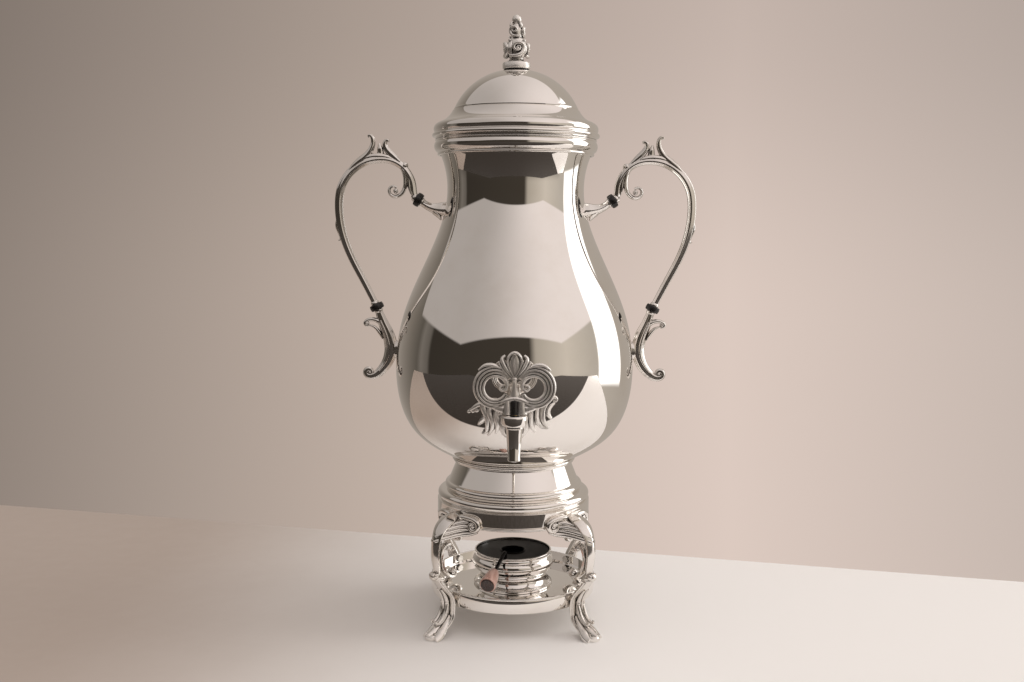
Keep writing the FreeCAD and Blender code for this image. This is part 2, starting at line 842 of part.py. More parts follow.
def pin_span(centre, direction, radius):
    """Round bar through a heat break, biting into the pieces on both sides."""
    half = num("insulator_length") / 2 + num("pin_bite")
    return Part.makeCylinder(radius, 2 * half, centre - direction * half, direction)


def pin_room(centre, direction):
    """Hole for the pin of a heat break, with its clearance."""
    return pin_span(centre, direction, num("pin_radius") + num("pin_gap"))


def thumb_piece():
    """Pointed thumb piece that stands on the crown of the right handle."""
    half = num("thumb_width") / 2
    outer = high_handle_point("thumb_outer")
    inner = high_handle_point("thumb_inner")
    crown = high_handle_point("handle_crown")
    root = crown.z - half
    dip = SHOULDER_LEVEL.value + num("thumb_dip_up")
    front = Vector(0, -half, 0)
    corners = [
        Vector(outer.x, 0, root) + front,
        outer + front,
        Vector(crown.x, 0, dip) + front,
        inner + front,
        Vector(inner.x, 0, root) + front,
    ]
    return Part.Face(Part.makePolygon(corners + corners[:1])).extrude(Vector(0, 2 * half, 0))


def handle_curl(start):
    """Curl that hangs from the shoulder of the right handle."""
    centre = high_handle_point("curl")
    ring = num("curl_radius")
    hook = [
        centre + Vector(-ring, 0, 0),
        centre + Vector(0, 0, -ring),
        centre + Vector(ring, 0, 0),
        centre + Vector(0, 0, num("curl_tip")),
    ]
    return rod(start, slope(-90), hook, num("curl_tube_radius"), True)


def handle_casting():
    """Right handle, from its lower heat break over the crown to its upper one."""
    upper_centre, upper_way = upper_break()
    seat = high_handle_point("handle_throat")
    bend = high_handle_point("handle_bend")
    stops = [
        low_handle_point("handle_waist"),
        low_handle_point("handle_side"),
        high_handle_point("handle_crown"),
        bend,
        seat + upper_way * num("insulator_length"),
    ]
    foot = low_handle_point("handle_foot")
    tube = rod(foot, slope(num("handle_slant")), stops, num("handle_tube_radius"))
    trim = 2 * num("insulator_radius") + num("insulator_length")
    tube = tube.cut(Part.makeCylinder(trim, trim, seat, upper_way))
    casting = tube.fuse([handle_curl(bend), thumb_piece()]).removeSplitter()
    return casting.cut([pin_room(upper_centre, upper_way), pin_room(*lower_break())])


def arm_casting():
    """Arm from the upper heat break into the neck."""
    centre, direction = upper_break()
    start = centre + direction * (num("insulator_length") / 2)
    inner_end = point(size.neck_radius - size.arm_radius, SHOULDER_LEVEL + size.arm_up)
    return rod(start, direction, [inner_end], num("arm_radius")).cut(pin_room(centre, direction))


def bracket_casting():
    """Scroll bracket from the lower heat break to a lug in the belly."""
    centre, direction = lower_break()
    start = centre + direction * (num("insulator_length") / 2)
    belly = size.belly_radius
    contact = low_handle_point("bracket_contact")
    stops = [
        contact,
        point(belly + size.bracket_heel_out, BELLY_LEVEL - size.bracket_heel_drop),
        point(belly + size.bracket_curl_out, BELLY_LEVEL - size.bracket_curl_drop),
    ]
    scroll = rod(start, direction, stops, num("bracket_radius"), True)
    inward = contact.x - num("neck_radius")
    lug = Part.makeCylinder(num("bracket_lug_radius"), inward, contact, Vector(-1, 0, 0))
    branch = start + direction * num("bracket_branch")
    tip = low_handle_point("side_curl")
    side_curl = rod(branch, slope(num("side_curl_slant")), [tip], num("curl_tube_radius"), True)
    return scroll.fuse([lug, side_curl]).removeSplitter().cut(pin_room(centre, direction))


def make_handles():
    room = pear_solid(num("solder_gap"), LIP_TOP.value)
    castings = {
        "handle": handle_casting(),
        "upper_arm": arm_casting(),
        "lower_bracket": bracket_casting(),
    }
    for side_name, side in SIDES.items():
        for name, shape in castings.items():
            trimmed = mirrored(shape, side).cut(room)
            node(feature(f"{name}_{side_name}_casting", trimmed), f"{name}_{side_name}")


def make_heat_breaks():
    half = num("insulator_length") / 2
    pins = {"upper": [], "lower": []}
    for side_name, side in SIDES.items():
        for level, (centre, direction) in {"upper": upper_break(), "lower": lower_break()}.items():
            middle = Vector(side * centre.x, 0, centre.z)
            way = Vector(side * direction.x, 0, direction.z)
            base = middle - way * half
            name = f"{level}_insulator_{side_name}"
            length = size.insulator_length
            ring = cylinder(f"{name}_disc", size.insulator_radius, length, base, way)
            hole = cylinder(f"{name}_hole", size.pin_radius + size.pin_gap, length, base, way)
            node(cut(f"{name}_ring", ring, hole), name)
            start = base - way * num("pin_bite")
            pin_length = length + size.pin_bite * 2.0
            pins[level].append(cylinder(f"{name}_pin", size.pin_radius, pin_length, start, way))
    for level, pair in pins.items():
        node(group(f"{level}_pin_pair", pair), f"{level}_handle_pins")


# Tap

def make_tap_body():
    y = -TAP_REACH
    barrel = doc.addObject("Part::Cone", "tap_barrel")
    spout_radius = size.outlet_radius + size.spout_wall
    height = BARREL_TOP - SPOUT_BOTTOM
    bind(barrel, Radius1=spout_radius, Radius2=size.plug_radius + size.barrel_wall, Height=height)
    bind_base(barrel, y=y, z=SPOUT_BOTTOM)
    facing = Vector(0, 1, 0)
    front = shank_axis_point(TAP_REACH.value)
    shank_length = TAP_REACH - nut_face() + size.tap_nut_height + size.shank_tail
    shank = cylinder("tap_shank", SHANK_RADIUS, shank_length, front, facing)
    casting = fuse("tap_casting", [barrel, shank])
    plug_bore = upright("tap_plug_bore", size.plug_radius, BARREL_TOP - PLUG_SEAT, PLUG_SEAT, y)
    outlet = upright("tap_outlet", size.outlet_radius, height, SPOUT_BOTTOM, y)
    way = cylinder("tap_waterway", size.waterway_radius, TAP_REACH, front, facing)
    node(cut("tap_drilled", casting, group("tap_bores", [plug_bore, outlet, way])), "spigot_body")


def make_bonnet_and_packing():
    bevel = size.bonnet_bevel
    top = BARREL_TOP + size.bonnet_height
    bonnet = turned("bonnet_turning", [
        (STEM_ROOM, BARREL_TOP),
        (size.bonnet_radius - bevel, BARREL_TOP),
        (size.bonnet_radius, BARREL_TOP + bevel),
        (size.bonnet_radius, top - bevel),
        (size.bonnet_radius - bevel, top),
        (STEM_ROOM, top),
    ])
    packing_outer = size.plug_radius - size.pin_gap
    packing_bottom = BARREL_TOP - size.packing_height
    packing = turned("packing_turning", [
        (STEM_ROOM, packing_bottom),
        (packing_outer, packing_bottom),
        (packing_outer, BARREL_TOP),
        (STEM_ROOM, BARREL_TOP),
    ])
    for item, name in ((bonnet, "spigot_bonnet"), (packing, "spigot_packing")):
        bind_base(item, y=-TAP_REACH)
        node(item, name)


def make_tap_seals():
    """Saddle gasket and nut on the shank inside the shell."""
    inside = pear_solid(-num("sheet_wall") - num("solder_gap"), LIP_TOP.value)
    face = nut_face()
    gasket = along_shank(GASKET_RADIUS.value, TAP_REACH.value, face).common(inside)
    node(feature("gasket_moulding", gasket.cut(shank_hole())), "spigot_gasket")
    seat = shank_axis_point(face)
    facing = Vector(0, 1, 0)
    blank = doc.addObject("Part::Prism", "tap_nut_blank")
    bind(blank, Circumradius=SHANK_RADIUS + size.tap_nut_wall, Height=size.tap_nut_height)
    blank.Placement = Placement(seat, Rotation(Vector(0, 0, 1), facing))
    hole = cylinder("tap_nut_hole", SHANK_RADIUS + size.pin_gap, size.tap_nut_height, seat, facing)
    node(cut("tap_nut_tapped", blank, hole), "spigot_nut")


def make_escutcheon():
    """Leaf-shaped plate that follows the belly behind the tap."""
    gap = num("solder_gap")
    top = LIP_TOP.value
    reach = TAP_REACH.value
    skin = pear_solid(gap + num("escutcheon_thickness"), top).cut(pear_solid(gap, top))
    half_width = num("escutcheon_half_width")
    half_height = num("escutcheon_half_height")
    ellipse = Part.Ellipse(Vector(0, 0, 0), half_width, half_height)
    outline = Part.Face(Part.Wire(ellipse.toShape()))
    centre = Vector(0, -reach, TAP_LEVEL.value + num("escutcheon_rise"))
    outline.Placement = Placement(centre, Rotation(Vector(1, 0, 0), 90))
    plate = skin.common(outline.extrude(Vector(0, reach, 0))).cut(shank_hole())
    node(feature("escutcheon_casting", plate), "spigot_escutcheon")


def make_plug():
    y = -TAP_REACH
    bottom = PLUG_SEAT + size.lift_gap
    top = BARREL_TOP - size.packing_height - size.turn_gap
    plug = upright("plug_barrel", size.plug_radius - size.turn_gap, top - bottom, bottom, y)
    stem = upright("plug_stem", size.stem_radius, STEM_TOP - top, top, y)
    drop = upright("plug_drop", size.plug_port_radius, TAP_LEVEL - bottom, bottom, y)
    centre = shank_axis_point(TAP_REACH.value)
    port_length = size.plug_radius * 2.0
    port = cylinder("plug_port", size.plug_port_radius, port_length, centre, Vector(1, 0, 0))
    blank = fuse("plug_turning", [plug, stem])
    node(cut("plug_drilled", blank, group("plug_bores", [drop, port])), "spigot_plug")


def make_key():
    y = -TAP_REACH
    front = -TAP_REACH.value - num("key_thickness") / 2
    facing = Vector(0, 1, 0)
    deep = size.key_thickness
    offset = (size.key_loop_radius - size.key_loop_lap).value
    loops = []
    holes = []
    for side_name, side in SIDES.items():
        centre = Vector(side * offset, front, KEY_LOOP_LEVEL.value)
        hole_radius = size.key_loop_radius - size.key_bar
        loops.append(cylinder(f"key_loop_{side_name}", size.key_loop_radius, deep, centre, facing))
        holes.append(cylinder(f"key_hole_{side_name}", hole_radius, deep, centre, facing))
    bud_level = KEY_LOOP_LEVEL + size.key_bud_seat + size.key_bud_radius
    bud = cylinder("key_bud", size.key_bud_radius, deep, Vector(0, front, bud_level.value), facing)
    boss_radius = size.stem_radius + size.key_boss_wall
    boss = upright("key_boss", boss_radius, size.key_loop_rise, KEY_BOTTOM, y)
    stem_depth = STEM_TOP + size.pin_gap - KEY_BOTTOM
    stem_hole = upright("key_stem_hole", size.stem_radius + size.pin_gap, stem_depth, KEY_BOTTOM, y)
    blank = fuse("key_casting", loops + [bud, boss])
    node(cut("key_pierced", blank, group("key_holes", holes + [stem_hole])), "spigot_key")


# Lid

def make_lid():
    wall = size.sheet_wall
    inner_crease = CREASE_RADIUS - wall
    inner_rim = LID_STEP_RADIUS - size.lid_rim_wall
    flange_radius = LID_RIM_RADIUS - size.lid_flange_inset
    bezel_inner = BEZEL_RADIUS - size.bezel_wall
    seat_inner = bezel_inner - size.bezel_land
    node(turned("lid_spinning", [
        (seat_inner, LIP_TOP),
        (flange_radius, LIP_TOP),
        (flange_radius, LID_FLANGE_TOP),
        (LID_RIM_RADIUS, LID_FLANGE_TOP),
        (LID_RIM_RADIUS, LID_RIM_TOP),
        (LID_STEP_RADIUS, LID_RIM_TOP, size.lid_flare_rise, -1),
        (CREASE_RADIUS, CREASE_LEVEL, size.dome_rise, 1),
        (size.lid_crown_radius, CROWN_LEVEL),
        (STUD_ROOM, CROWN_LEVEL),
        (STUD_ROOM, CROWN_LEVEL - wall),
        (size.lid_crown_radius, CROWN_LEVEL - wall, size.dome_rise, -1),
        (inner_crease, CREASE_LEVEL - size.lid_crease_drop, size.lid_flare_rise, 1),
        (inner_rim, LID_RIM_TOP - wall),
        (inner_rim, LID_FLANGE_TOP),
        (seat_inner, LID_FLANGE_TOP),
    ]), "lid_cover")
    bezel_bottom = LIP_BOTTOM + size.bezel_short
    node(turned("bezel_turning", [
        (bezel_inner, bezel_bottom),
        (BEZEL_RADIUS, bezel_bottom),
        (BEZEL_RADIUS, LIP_TOP),
        (bezel_inner, LIP_TOP),
    ]), "lid_bezel")


def make_finial():
    base = CROWN_LEVEL + size.washer_thickness
    base_top = base + size.finial_base_height
    neck_top = base_top + size.finial_neck_height
    bulb_middle = neck_top + size.finial_bulb_height / 2.0
    bulb_top = neck_top + size.finial_bulb_height
    bud_middle = bulb_top + size.finial_bud_height / 2.0
    bud_top = bulb_top + size.finial_bud_height
    tip_top = bud_top + size.finial_tip_height
    washer_radius = size.finial_base_radius - size.washer_inset
    node(turned("washer_turning", [
        (STUD_ROOM, CROWN_LEVEL),
        (washer_radius, CROWN_LEVEL),
        (washer_radius, base),
        (STUD_ROOM, base),
    ]), "finial_washer")
    node(turned("finial_casting", [
        (AXIS, base - size.stud_length),
        (size.stud_radius, base - size.stud_length),
        (size.stud_radius, base),
        (size.finial_base_radius, base),
        (size.finial_base_radius, base_top),
        (size.finial_neck_radius, neck_top, size.finial_bulb_rise, 1),
        (size.finial_bulb_radius, bulb_middle, size.finial_bulb_rise, 1),
        (size.finial_waist_radius, bulb_top, size.finial_bud_rise, 1),
        (size.finial_bud_radius, bud_middle, size.finial_bud_rise, 1),
        (size.finial_tip_root, bud_top, size.finial_tip_rise, 1),
        (size.finial_tip_flat, tip_top),
        (AXIS, tip_top),
    ]), "finial")
    nut_bottom = CROWN_LEVEL - size.sheet_wall - size.finial_nut_height
    blank = doc.addObject("Part::Prism", "finial_nut_blank")
    bind(blank, Circumradius=size.stud_radius + size.finial_nut_wall, Height=size.finial_nut_height)
    bind_base(blank, z=nut_bottom)
    hole = upright("finial_nut_hole", STUD_ROOM, size.finial_nut_height, nut_bottom)
    node(cut("finial_nut_tapped", blank, hole), "finial_nut")


# Burner and damper

def make_burner():
    floor = size.plate_floor_height
    flange_top = floor + size.burner_flange_height
    node(turned("burner_foot_spinning", [
        (AXIS, floor),
        (size.burner_foot_radius, floor),
        (size.burner_foot_radius, flange_top, size.burner_waist_rise, -1),
        (size.burner_waist_radius, WAIST_LEVEL),
        (AXIS, WAIST_LEVEL),
    ]), "burner_foot")
    mouth_inner = MOUTH_RADIUS - size.bowl_wall
    bulge = WAIST_LEVEL + size.bowl_bulge_up
    node(turned("burner_bowl_spinning", [
        (AXIS, WAIST_LEVEL),
        (size.burner_waist_radius, WAIST_LEVEL, size.bowl_bulge_rise, 1),
        (size.bowl_radius, bulge),
        (MOUTH_RADIUS, MOUTH_LEVEL),
        (mouth_inner, MOUTH_LEVEL),
        (mouth_inner, bulge),
        (size.burner_waist_radius, CUP_BOTTOM),
        (AXIS, CUP_BOTTOM),
    ]), "burner_bowl")
    cup_radius = size.burner_waist_radius - size.cup_inset
    cup_inner = cup_radius - size.cup_wall
    cup_floor = CUP_BOTTOM + size.cup_wall
    node(turned("fuel_cup_drawing", [
        (AXIS, CUP_BOTTOM),
        (cup_radius, CUP_BOTTOM),
        (cup_radius, CUP_TOP),
        (cup_inner, CUP_TOP),
        (cup_inner, cup_floor),
        (AXIS, cup_floor),
    ]), "burner_cup")
    wick_radius = cup_inner - size.lift_gap
    wick_top = cup_floor + size.wick_height
    node(turned("wick_pad", [
        (AXIS, cup_floor),
        (wick_radius, cup_floor),
        (wick_radius, wick_top),
        (AXIS, wick_top),
    ]), "burner_wick")


def damper_direction():
    """Direction of the rod: out from the burner's axis at its bearing, falling along its slope."""
    flat = Rotation(Vector(0, 0, 1), num("damper_bearing")).multVec(Vector(1, 0, 0))
    fall = math.radians(num("rod_slope"))
    return flat * math.cos(fall) - Vector(0, 0, math.sin(fall))


def rod_point(reach):
    """Point on the rod's axis at a level distance from the burner's axis."""
    fall = math.radians(num("rod_slope"))
    above_mouth = (num("rod_radius") + num("rod_gap")) / math.cos(fall)
    top = MOUTH_LEVEL.value + above_mouth + MOUTH_RADIUS.value * math.tan(fall)
    return Vector(0, 0, top) + damper_direction() * (reach.value / math.cos(fall))


def make_damper():
    plate_top = CUP_TOP + size.damper_thickness
    node(turned("damper_blank", [
        (size.damper_hole_radius, CUP_TOP),
        (DAMPER_RADIUS, CUP_TOP),
        (DAMPER_RADIUS, plate_top),
        (size.damper_hole_radius, plate_top),
    ]), "damper_plate")
    direction = damper_direction()
    start = rod_point(DAMPER_RADIUS - size.rod_inset)
    knob_base = rod_point(MOUTH_RADIUS + size.rod_reach)
    cap_base = knob_base + direction * num("knob_length")
    radius = num("rod_radius")
    bar = Part.makeCylinder(radius, (knob_base - start).Length, start, direction)
    elbow = Part.makeSphere(radius, start)
    foot = Vector(start.x, start.y, plate_top.value)
    post = Part.makeCylinder(radius, start.z - foot.z, foot)
    node(feature("damper_rod_bent", bar.fuse([elbow, post]).removeSplitter()), "damper_rod")
    knob = cylinder("damper_knob_turning", size.knob_radius, size.knob_length, knob_base, direction)
    node(knob, "damper_knob")
    cap_radius = size.knob_radius - size.ferrule_inset
    cap = cylinder("damper_ferrule_turning", cap_radius, size.ferrule_length, cap_base, direction)
    node(cap, "damper_ferrule")


def write_parts():
    """Check every object, then write each sub-part to its own file."""
    doc.recompute()
    failed = [item.Name for item in doc.Objects if {"Invalid", "Error"} & set(item.State)]
    if failed:
        raise RuntimeError(f"objects failed to build: {failed}")
    os.makedirs("parts", exist_ok=True)
    for item in nodes:
        if item.Shape.isNull() or not item.Shape.isValid() or not item.Shape.Solids:
            raise RuntimeError(f"{item.Label} has no valid solid")
        item.Shape.exportStep(f"parts/{item.Label}.step")


def main():
    holes = feature("leg_screw_holes", screw_holes())
    make_stand_shell(holes)
    make_gallery()
    make_plate(holes)
    make_legs(holes)
    make_leg_screws()
    make_urn_shell()
    make_collar_and_foot()
    make_handles()
    make_heat_breaks()
    make_tap_body()
    make_bonnet_and_packing()
    make_tap_seals()
    make_escutcheon()
    make_plug()
    make_key()
    make_lid()
    make_finial()
    make_burner()
    make_damper()
    write_parts()


main()
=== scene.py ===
"""Dressed model of a two-handled silver coffee urn with a tap, on its warming stand.

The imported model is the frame: its origin is on the urn's axis at table level, +Z is up and the tap
is on the -Y side. Shapes are drawn in millimetres and written in metres.
"""
import logging
import math
from dataclasses import dataclass
from enum import Enum
from typing import Callable, Sequence

import bmesh
import bpy
import numpy as np
from mathutils import Matrix, Vector


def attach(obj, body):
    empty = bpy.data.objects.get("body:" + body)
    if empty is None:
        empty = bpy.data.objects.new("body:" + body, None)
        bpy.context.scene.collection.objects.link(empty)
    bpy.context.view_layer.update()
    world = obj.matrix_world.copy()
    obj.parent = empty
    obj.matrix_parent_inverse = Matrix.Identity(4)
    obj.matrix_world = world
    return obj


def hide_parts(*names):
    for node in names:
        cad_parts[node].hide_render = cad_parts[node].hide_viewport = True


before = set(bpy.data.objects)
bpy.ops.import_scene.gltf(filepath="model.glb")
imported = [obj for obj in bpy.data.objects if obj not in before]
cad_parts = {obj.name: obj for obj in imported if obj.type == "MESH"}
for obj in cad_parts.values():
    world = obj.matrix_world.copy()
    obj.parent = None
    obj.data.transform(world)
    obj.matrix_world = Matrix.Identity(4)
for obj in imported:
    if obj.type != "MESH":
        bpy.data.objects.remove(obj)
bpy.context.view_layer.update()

MM = 0.001
MERGE = 1e-4
GROOVE_DEPTH = 0.12
GROOVE_LEAN = 0.85
GROOVE_WIDTH = 0.16
TURN = 2.0 * math.pi
log = logging.getLogger("urn")

Flat = tuple[float, float]
Triple = tuple[float, float, float]
Colour = Triple
Edges = tuple[float, float, float, float]
Stops = Sequence[tuple[float, Colour]]
Chart = Callable[[float, float, float], Vector]


class Body(Enum):
    """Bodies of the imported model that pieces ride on."""

    STAND = "stand"
    URN = "urn"
    KEY = "key"
    LID = "lid"
    BURNER = "burner"
    DAMPER = "damper"


class Side(Enum):
    """Left and right of the urn, with the sign of X on that side."""

    LEFT = -1.0
    RIGHT = 1.0

    @property
    def word(self) -> str:
        """Lower-case name that the node names end in."""
        return self.name.lower()


class Spline:
    """Natural cubic curve through points, by the length of the chords between them."""

    def __init__(self, points: Sequence[Sequence[float]]) -> None:
        """Solve the curve's second derivatives.

        Args:
            points: Points that the curve passes through, in order.
        """
        self.values = np.array(points, dtype=float)
        gaps = np.linalg.norm(np.diff(self.values, axis=0), axis=1)
        self.knots = np.concatenate(([0.0], np.cumsum(gaps)))
        count = len(self.values)
        matrix = np.eye(count)
        right = np.zeros_like(self.values)
        for row in range(1, count - 1):
            before, after = gaps[row - 1], gaps[row]
            matrix[row, row - 1:row + 2] = before, 2.0 * (before + after), after
            steps = self.values[row + 1] - self.values[row], self.values[row] - self.values[row - 1]
            right[row] = 6.0 * (steps[0] / after - steps[1] / before)
        self.bends = np.linalg.solve(matrix, right)

    @property
    def length(self) -> float:
        """Sum of the chords."""
        return float(self.knots[-1])

    def at(self, share: float) -> np.ndarray:
        """Point on the curve.

        Args:
            share: Share of the whole length, from 0 to 1.

        Returns:
            The point's coordinates.
        """
        place = min(max(share, 0.0), 1.0) * self.knots[-1]
        row = int(np.clip(np.searchsorted(self.knots, place, side="right") - 1, 0, len(self.knots) - 2))
        gap = self.knots[row + 1] - self.knots[row]
        first = (self.knots[row + 1] - place) / gap
        last = 1.0 - first
        bend = (first ** 3 - first) * self.bends[row] + (last ** 3 - last) * self.bends[row + 1]
        return first * self.values[row] + last * self.values[row + 1] + bend * gap * gap / 6.0

    def heading(self, share: float) -> np.ndarray:
        """Unit direction of travel.

        Args:
            share: Share of the whole length, from 0 to 1.

        Returns:
            The unit tangent.
        """
        step = 0.004
        ahead = self.at(share + step) - self.at(share - step)
        return ahead / np.linalg.norm(ahead)

    def samples(self, count: int) -> list[Flat]:
        """Give count points, evenly shared from the curve's start to its end."""
        return [tuple(self.at(place / (count - 1))) for place in range(count)]


def bulge(start: Flat, end: Flat, rise: float, count: int = 10) -> list[Flat]:
    """Points on a circular arc between two corners of a profile.

    Args:
        start: First corner, as (radius, height).
        end: Last corner.
        rise: How far the arc stands off its chord, positive to the right of travel.
        count: Number of points, ends included.

    Returns:
        The arc's points.
    """
    first, last = np.array(start), np.array(end)
    chord = last - first
    half = np.linalg.norm(chord) / 2.0
    right = np.array((chord[1], -chord[0])) / (2.0 * half)
    radius = (half * half + rise * rise) / (2.0 * abs(rise))
    sign = math.copysign(1.0, rise)
    centre = (first + last) / 2.0 + right * (rise - sign * radius)
    sweep = math.asin(min(1.0, half / radius))
    sweep = sweep if abs(rise) <= half else math.pi - sweep
    along = chord / (2.0 * half)
    angles = np.linspace(-sweep, sweep, count)
    return [tuple(centre + radius * (sign * right * math.cos(a) + along * math.sin(a))) for a in angles]


def fillet(corners: Sequence[Flat], radius: float, count: int = 4) -> list[Flat]:
    """Round the inner corners of an open profile.

    Args:
        corners: Corners of the profile.
        radius: Length taken off each run at a corner, at most a third of the run.
        count: Points on each rounded corner.

    Returns:
        The rounded profile.
    """
    points = [corners[0]]
    for before, here, after in zip(corners, corners[1:], corners[2:]):
        corner = np.array(here)
        back, forth = np.array(before) - corner, np.array(after) - corner
        reach = min(radius, np.linalg.norm(back) / 3.0, np.linalg.norm(forth) / 3.0)
        first = corner + back / np.linalg.norm(back) * reach
        last = corner + forth / np.linalg.norm(forth) * reach
        for share in np.linspace(0.0, 1.0, count):
            rest = 1.0 - share
            points.append(tuple(rest ** 2 * first + 2.0 * share * rest * corner + share ** 2 * last))
    points.append(corners[-1])
    return points


def curled(points: Sequence[Flat], radius: float, turns: float, side: float,
           close: float = 0.3) -> list[Flat]:
    """A path that ends in a spiral.

    Args:
        points: Path before the spiral.
        radius: Radius at which the spiral starts.
        turns: How many turns it makes.
        side: +1 to curl to the left of travel, -1 to the right.
        close: Radius at the spiral's end, as a share of its first radius.

    Returns:
        The path with the spiral's points added.
    """
    path = Spline(points)
    tip, ahead = path.at(1.0), path.heading(0.99)
    centre = tip + side * radius * np.array((-ahead[1], ahead[0]))
    start = math.atan2(tip[1] - centre[1], tip[0] - centre[0])
    count = max(3, int(8 * turns))
    spiral = []
    for place in range(1, count + 1):
        share = place / count
        angle = start + side * TURN * turns * share
        reach = radius * (1.0 - (1.0 - close) * share)
        spiral.append((centre[0] + reach * math.cos(angle), centre[1] + reach * math.sin(angle)))
    return [tuple(point) for point in points] + spiral


def taper(values: Sequence[float] | float, share: float) -> float:
    """Value along a path.

    Args:
        values: One value, or evenly shared values from the path's start to its end.
        share: Share of the path's length.

    Returns:
        The value there.
    """
    if isinstance(values, (int, float)):
        return float(values)
    return float(np.interp(share, np.linspace(0.0, 1.0, len(values)), values))


def upright_plane(offset: float = 0.0) -> Chart:
    """Chart of an upright plane facing front at Y = offset, from (x, z, lift towards +Y)."""
    return lambda a, b, lift: Vector((a, offset + lift, b))


def radial_plane(bearing: float) -> Chart:
    """Chart of an upright plane through the urn's axis.

    Args:
        bearing: Angle of the plane from +X, in degrees.

    Returns:
        Chart from (radius, z, lift sideways).
    """
    turn = math.radians(bearing)
    cos, sin = math.cos(turn), math.sin(turn)
    return lambda a, b, lift: Vector((a * cos - lift * sin, a * sin + lift * cos, b))


def drum(radius: float) -> Chart:
    """Chart of an upright cylinder, starting at +X.

    Args:
        radius: Radius of the cylinder.

    Returns:
        Chart from (length round it, z, lift outward).
    """
    def place(a: float, b: float, lift: float) -> Vector:
        """Point at a length round the drum, a height and a lift."""
        angle = a / radius
        return Vector(((radius + lift) * math.cos(angle), (radius + lift) * math.sin(angle), b))
    return place


